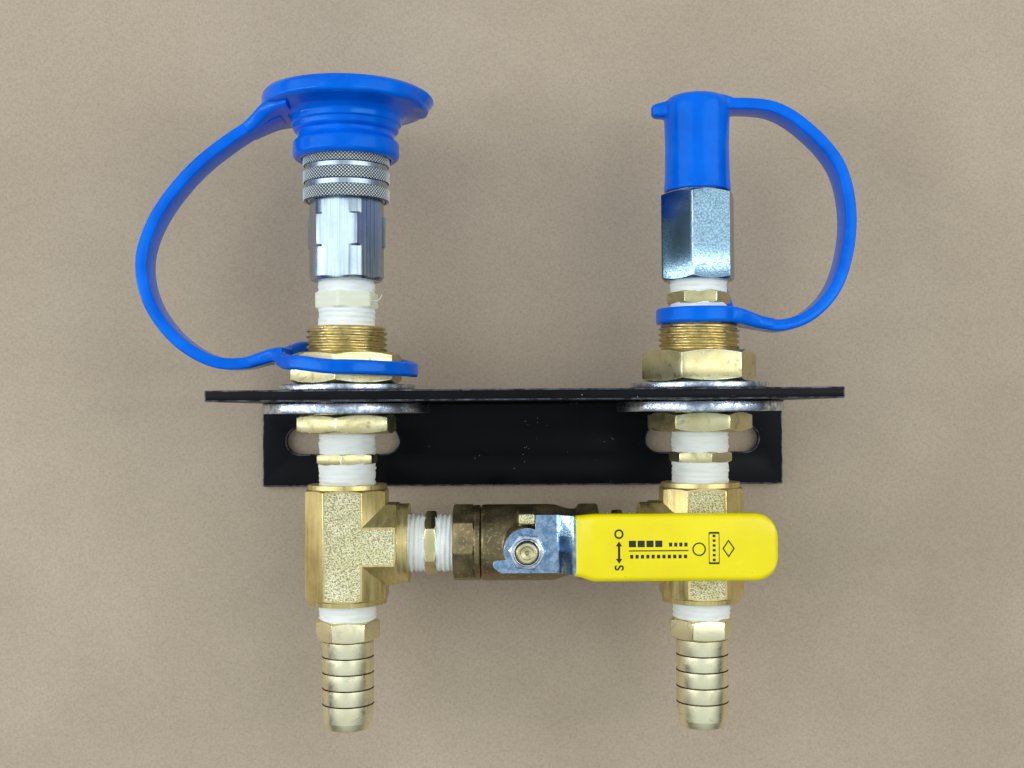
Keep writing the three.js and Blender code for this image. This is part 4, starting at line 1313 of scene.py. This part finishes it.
def bar(line, sizes, radius, place):
    """A bar through (x, y) points, with a section's thickness and width at each."""
    def section(t):
        return rounded_rectangle(*sizes[round(t * (len(sizes) - 1))], radius, 5)
    return swept("bar", [(x, y, 0) for x, y in line], section, place, BLUE)


# ---------------------------------------------------------------- assembly


def column(side, seed, corners):
    """Everything screwed together on one side; corners turn its hexagons, seed varies its tape."""
    place = COLUMN[side]
    body, lock, upper, lower, barb = corners
    for level in ("upper", "lower"):
        washer(f"washer_{level}_{side}", place)
    bulkhead(side, body)
    name = f"locknut_{side}"
    locknut = nut_shape(name, 39.0, span(name), 15.9, lock, place, BRASS, 0.9, edge=0.3)
    stands_for(locknut, "machined_brass", name)
    hexagons = {}
    for level, corner, start, end in (("upper", upper, 19.6, 24.8), ("lower", lower, 18.5, 23.0)):
        name = f"nipple_{level}_{side}"
        base = low(name)[1]
        hexagons[level] = (base + start, base + end)
        nipple(name, span(name), hexagons[level], corner, place, BRASS)
    tee(side)
    hose_barb(side, barb)
    bulkhead_low, bulkhead_high = span(f"bulkhead_{side}")
    end = low("coupler_body" if side == "left" else "plug_body")[1]
    tee_low, tee_high = span(f"tee_{side}")
    wraps = [(hexagons["lower"][1], bulkhead_low), (tee_high, hexagons["lower"][0])]
    wraps += [(low(f"hose_barb_{side}")[1] + 42.3, tee_low)]
    if side == "left":
        tape("tape_upper_left", (bulkhead_high, end), place, seed, (NIPPLE_FLATS, upper, hexagons["upper"]))
    else:
        wraps += [(bulkhead_high, hexagons["upper"][0]), (hexagons["upper"][1], end)]
    for i, wrap in enumerate(wraps):
        tape(f"tape_{side}_{i + 1}", wrap, place, seed + i)


def assemble():
    bracket()
    column("left", 1, (34, 34, 38, 34, 52))
    column("right", 6, (5, 55, 4, 18, 54))
    pipeline_pieces()
    valve_body()
    valve_insert()
    stem_and_nuts()
    handle_plate()
    handle_grip()
    print_on_grip()
    coupler_body()
    coupler_sleeve()
    plug_body()
    inner_pieces()
    caps_and_straps()


def pipeline_pieces():
    for side, sign in (("left", -1), ("right", 1)):
        name = f"nipple_valve_{side}"
        x0, x1 = span(name, 0)
        inner = x1 if side == "left" else x0
        hexagon = sorted((inner + sign * 16.0, inner + sign * 21.0))
        nipple(name, (x0, x1), hexagon, 1, PIPELINE, BRASS_X)
        tee_end = high("tee_left")[0] if side == "left" else low("tee_right")[0]
        valve_end = low("valve_insert")[0] if side == "left" else high("valve_body")[0]
        edges = sorted((tee_end, valve_end))
        for i, wrap in enumerate(((edges[0], hexagon[0]), (hexagon[1], edges[1]))):
            tape(f"tape_valve_{side}_{i + 1}", wrap, PIPELINE, 20 + 4 * i + sign, ridges=0.42)


def caps_and_straps():
    coupler_cap()
    plug_cap()
    strap("coupler_cap_strap", CAP_ROUTE)
    strap("plug_cap_strap", PLUG_ROUTE)
    left_neck = neck([(-90.5, 18.1), (-93, 18.2), (-96, 17.9), (-100, 16.9), (-105, 15.4)],
                     [30, 25, 19, 15, 13.4], [5.4, 5.4, 5.2, 4.9, 4.6])
    band_ring("coupler_cap_ring", "left", (23.7, 27.4), 5.4, uneven_rise, left_neck)
    y0, y1 = span("plug_cap_ring")
    right_neck = neck([(79.8, 32.2), (83, 31.7), (86.5, 30.8), (90.5, 29.7), (96, 28.7)],
                      [24, 21, 17, 14, 13.4], [6.0, 5.8, 5.4, 4.9, 4.6])
    band_ring("plug_cap_ring", "right", (11.7, 16.4), y1 - y0, flat_rise((y0 + y1) / 2, 322, 9), right_neck)


assemble()

# the CAD nodes that nothing stands for lie deep inside; they get the same finishes
for piece in frame["record"]["subparts"]:
    node = frame["nodes"][piece["node"]]
    node.data.materials.clear()
    node.data.materials.append(FINISHES[piece["material_slot"]])

# ---------------------------------------------------------------- floor, lights and camera


def paper():
    p = Paint("kraft_paper", roughness=0.85, specular_ior_level=0.2)
    grain = p.noise(900, 4, 0.7)
    base = p.drift(p.noise(7, 5, 0.6), 0.35, 0.65, (0.56, 0.46, 0.345), (0.47, 0.38, 0.28))
    p.colour(p.drift(grain, 0.4, 0.68, base, (0.25, 0.2, 0.155), 0.35))
    p.bump(grain, 0.05, 0.5)
    return p.material


def floor():
    half = 1500
    outline = [(-half, -half), (half, -half), (half, half), (-half, half)]
    extruded("floor", outline, (-6, -0.3), AS_MODELLED, paper())


def softbox(name, position_mm, size_mm, watts, colour):
    light = bpy.data.lights.new(name, "AREA")
    light.shape = "RECTANGLE"
    light.size, light.size_y = size_mm[0] * MM, size_mm[1] * MM
    light.energy = watts
    light.color = colour
    obj = in_scene(name, light)
    obj.location = Vector(position_mm) * MM
    aim = Vector((0, 0, 40)) - Vector(position_mm)
    obj.rotation_euler = aim.to_track_quat("-Z", "Y").to_euler()


def lights_and_camera():
    world = bpy.data.worlds.new("room")
    bpy.context.scene.world = world
    world.use_nodes = True
    # a pale room whose upper part is the brightest
    sky = Nodes(world.node_tree)
    direction = sky.node("TexCoord").outputs["Generated"]
    upward = sky.vector_maths("DOT_PRODUCT", direction, (0, 0.3, 0.954))["Value"]
    greys = ((0.1, 0.07), (0.5, 0.58), (0.85, 0.8), (1.0, 0.8))
    colour = sky.ramp(upward, *[(position, (0.86 * grey, 0.94 * grey, grey)) for position, grey in greys])
    sky.put(colour, sky.tree.nodes["Background"].inputs["Color"])
    softbox("panel_left", (-950, 260, 880), (640, 1300), 4.3, (0.95, 0.98, 1.0))
    softbox("panel_right", (880, 320, 950), (520, 1300), 3.2, (1.0, 0.99, 0.95))
    softbox("tube_left", (-900, 0, 480), (60, 1100), 1.9, (0.97, 0.99, 1.0))
    softbox("tube_right", (640, 40, 800), (50, 1000), 1.3, (1.0, 1.0, 0.98))
    camera = bpy.data.cameras.new("camera")
    camera.lens = 42.5
    camera.sensor_width = 36
    camera.clip_start = 0.01
    obj = in_scene("camera", camera)
    obj.location = Vector((-4.4, -3.60, 517.5)) * MM
    obj.rotation_euler = (0.022, 0, -0.0065)
    bpy.context.scene.camera = obj
    bpy.context.scene.view_settings.view_transform = "Standard"


floor()
lights_and_camera()
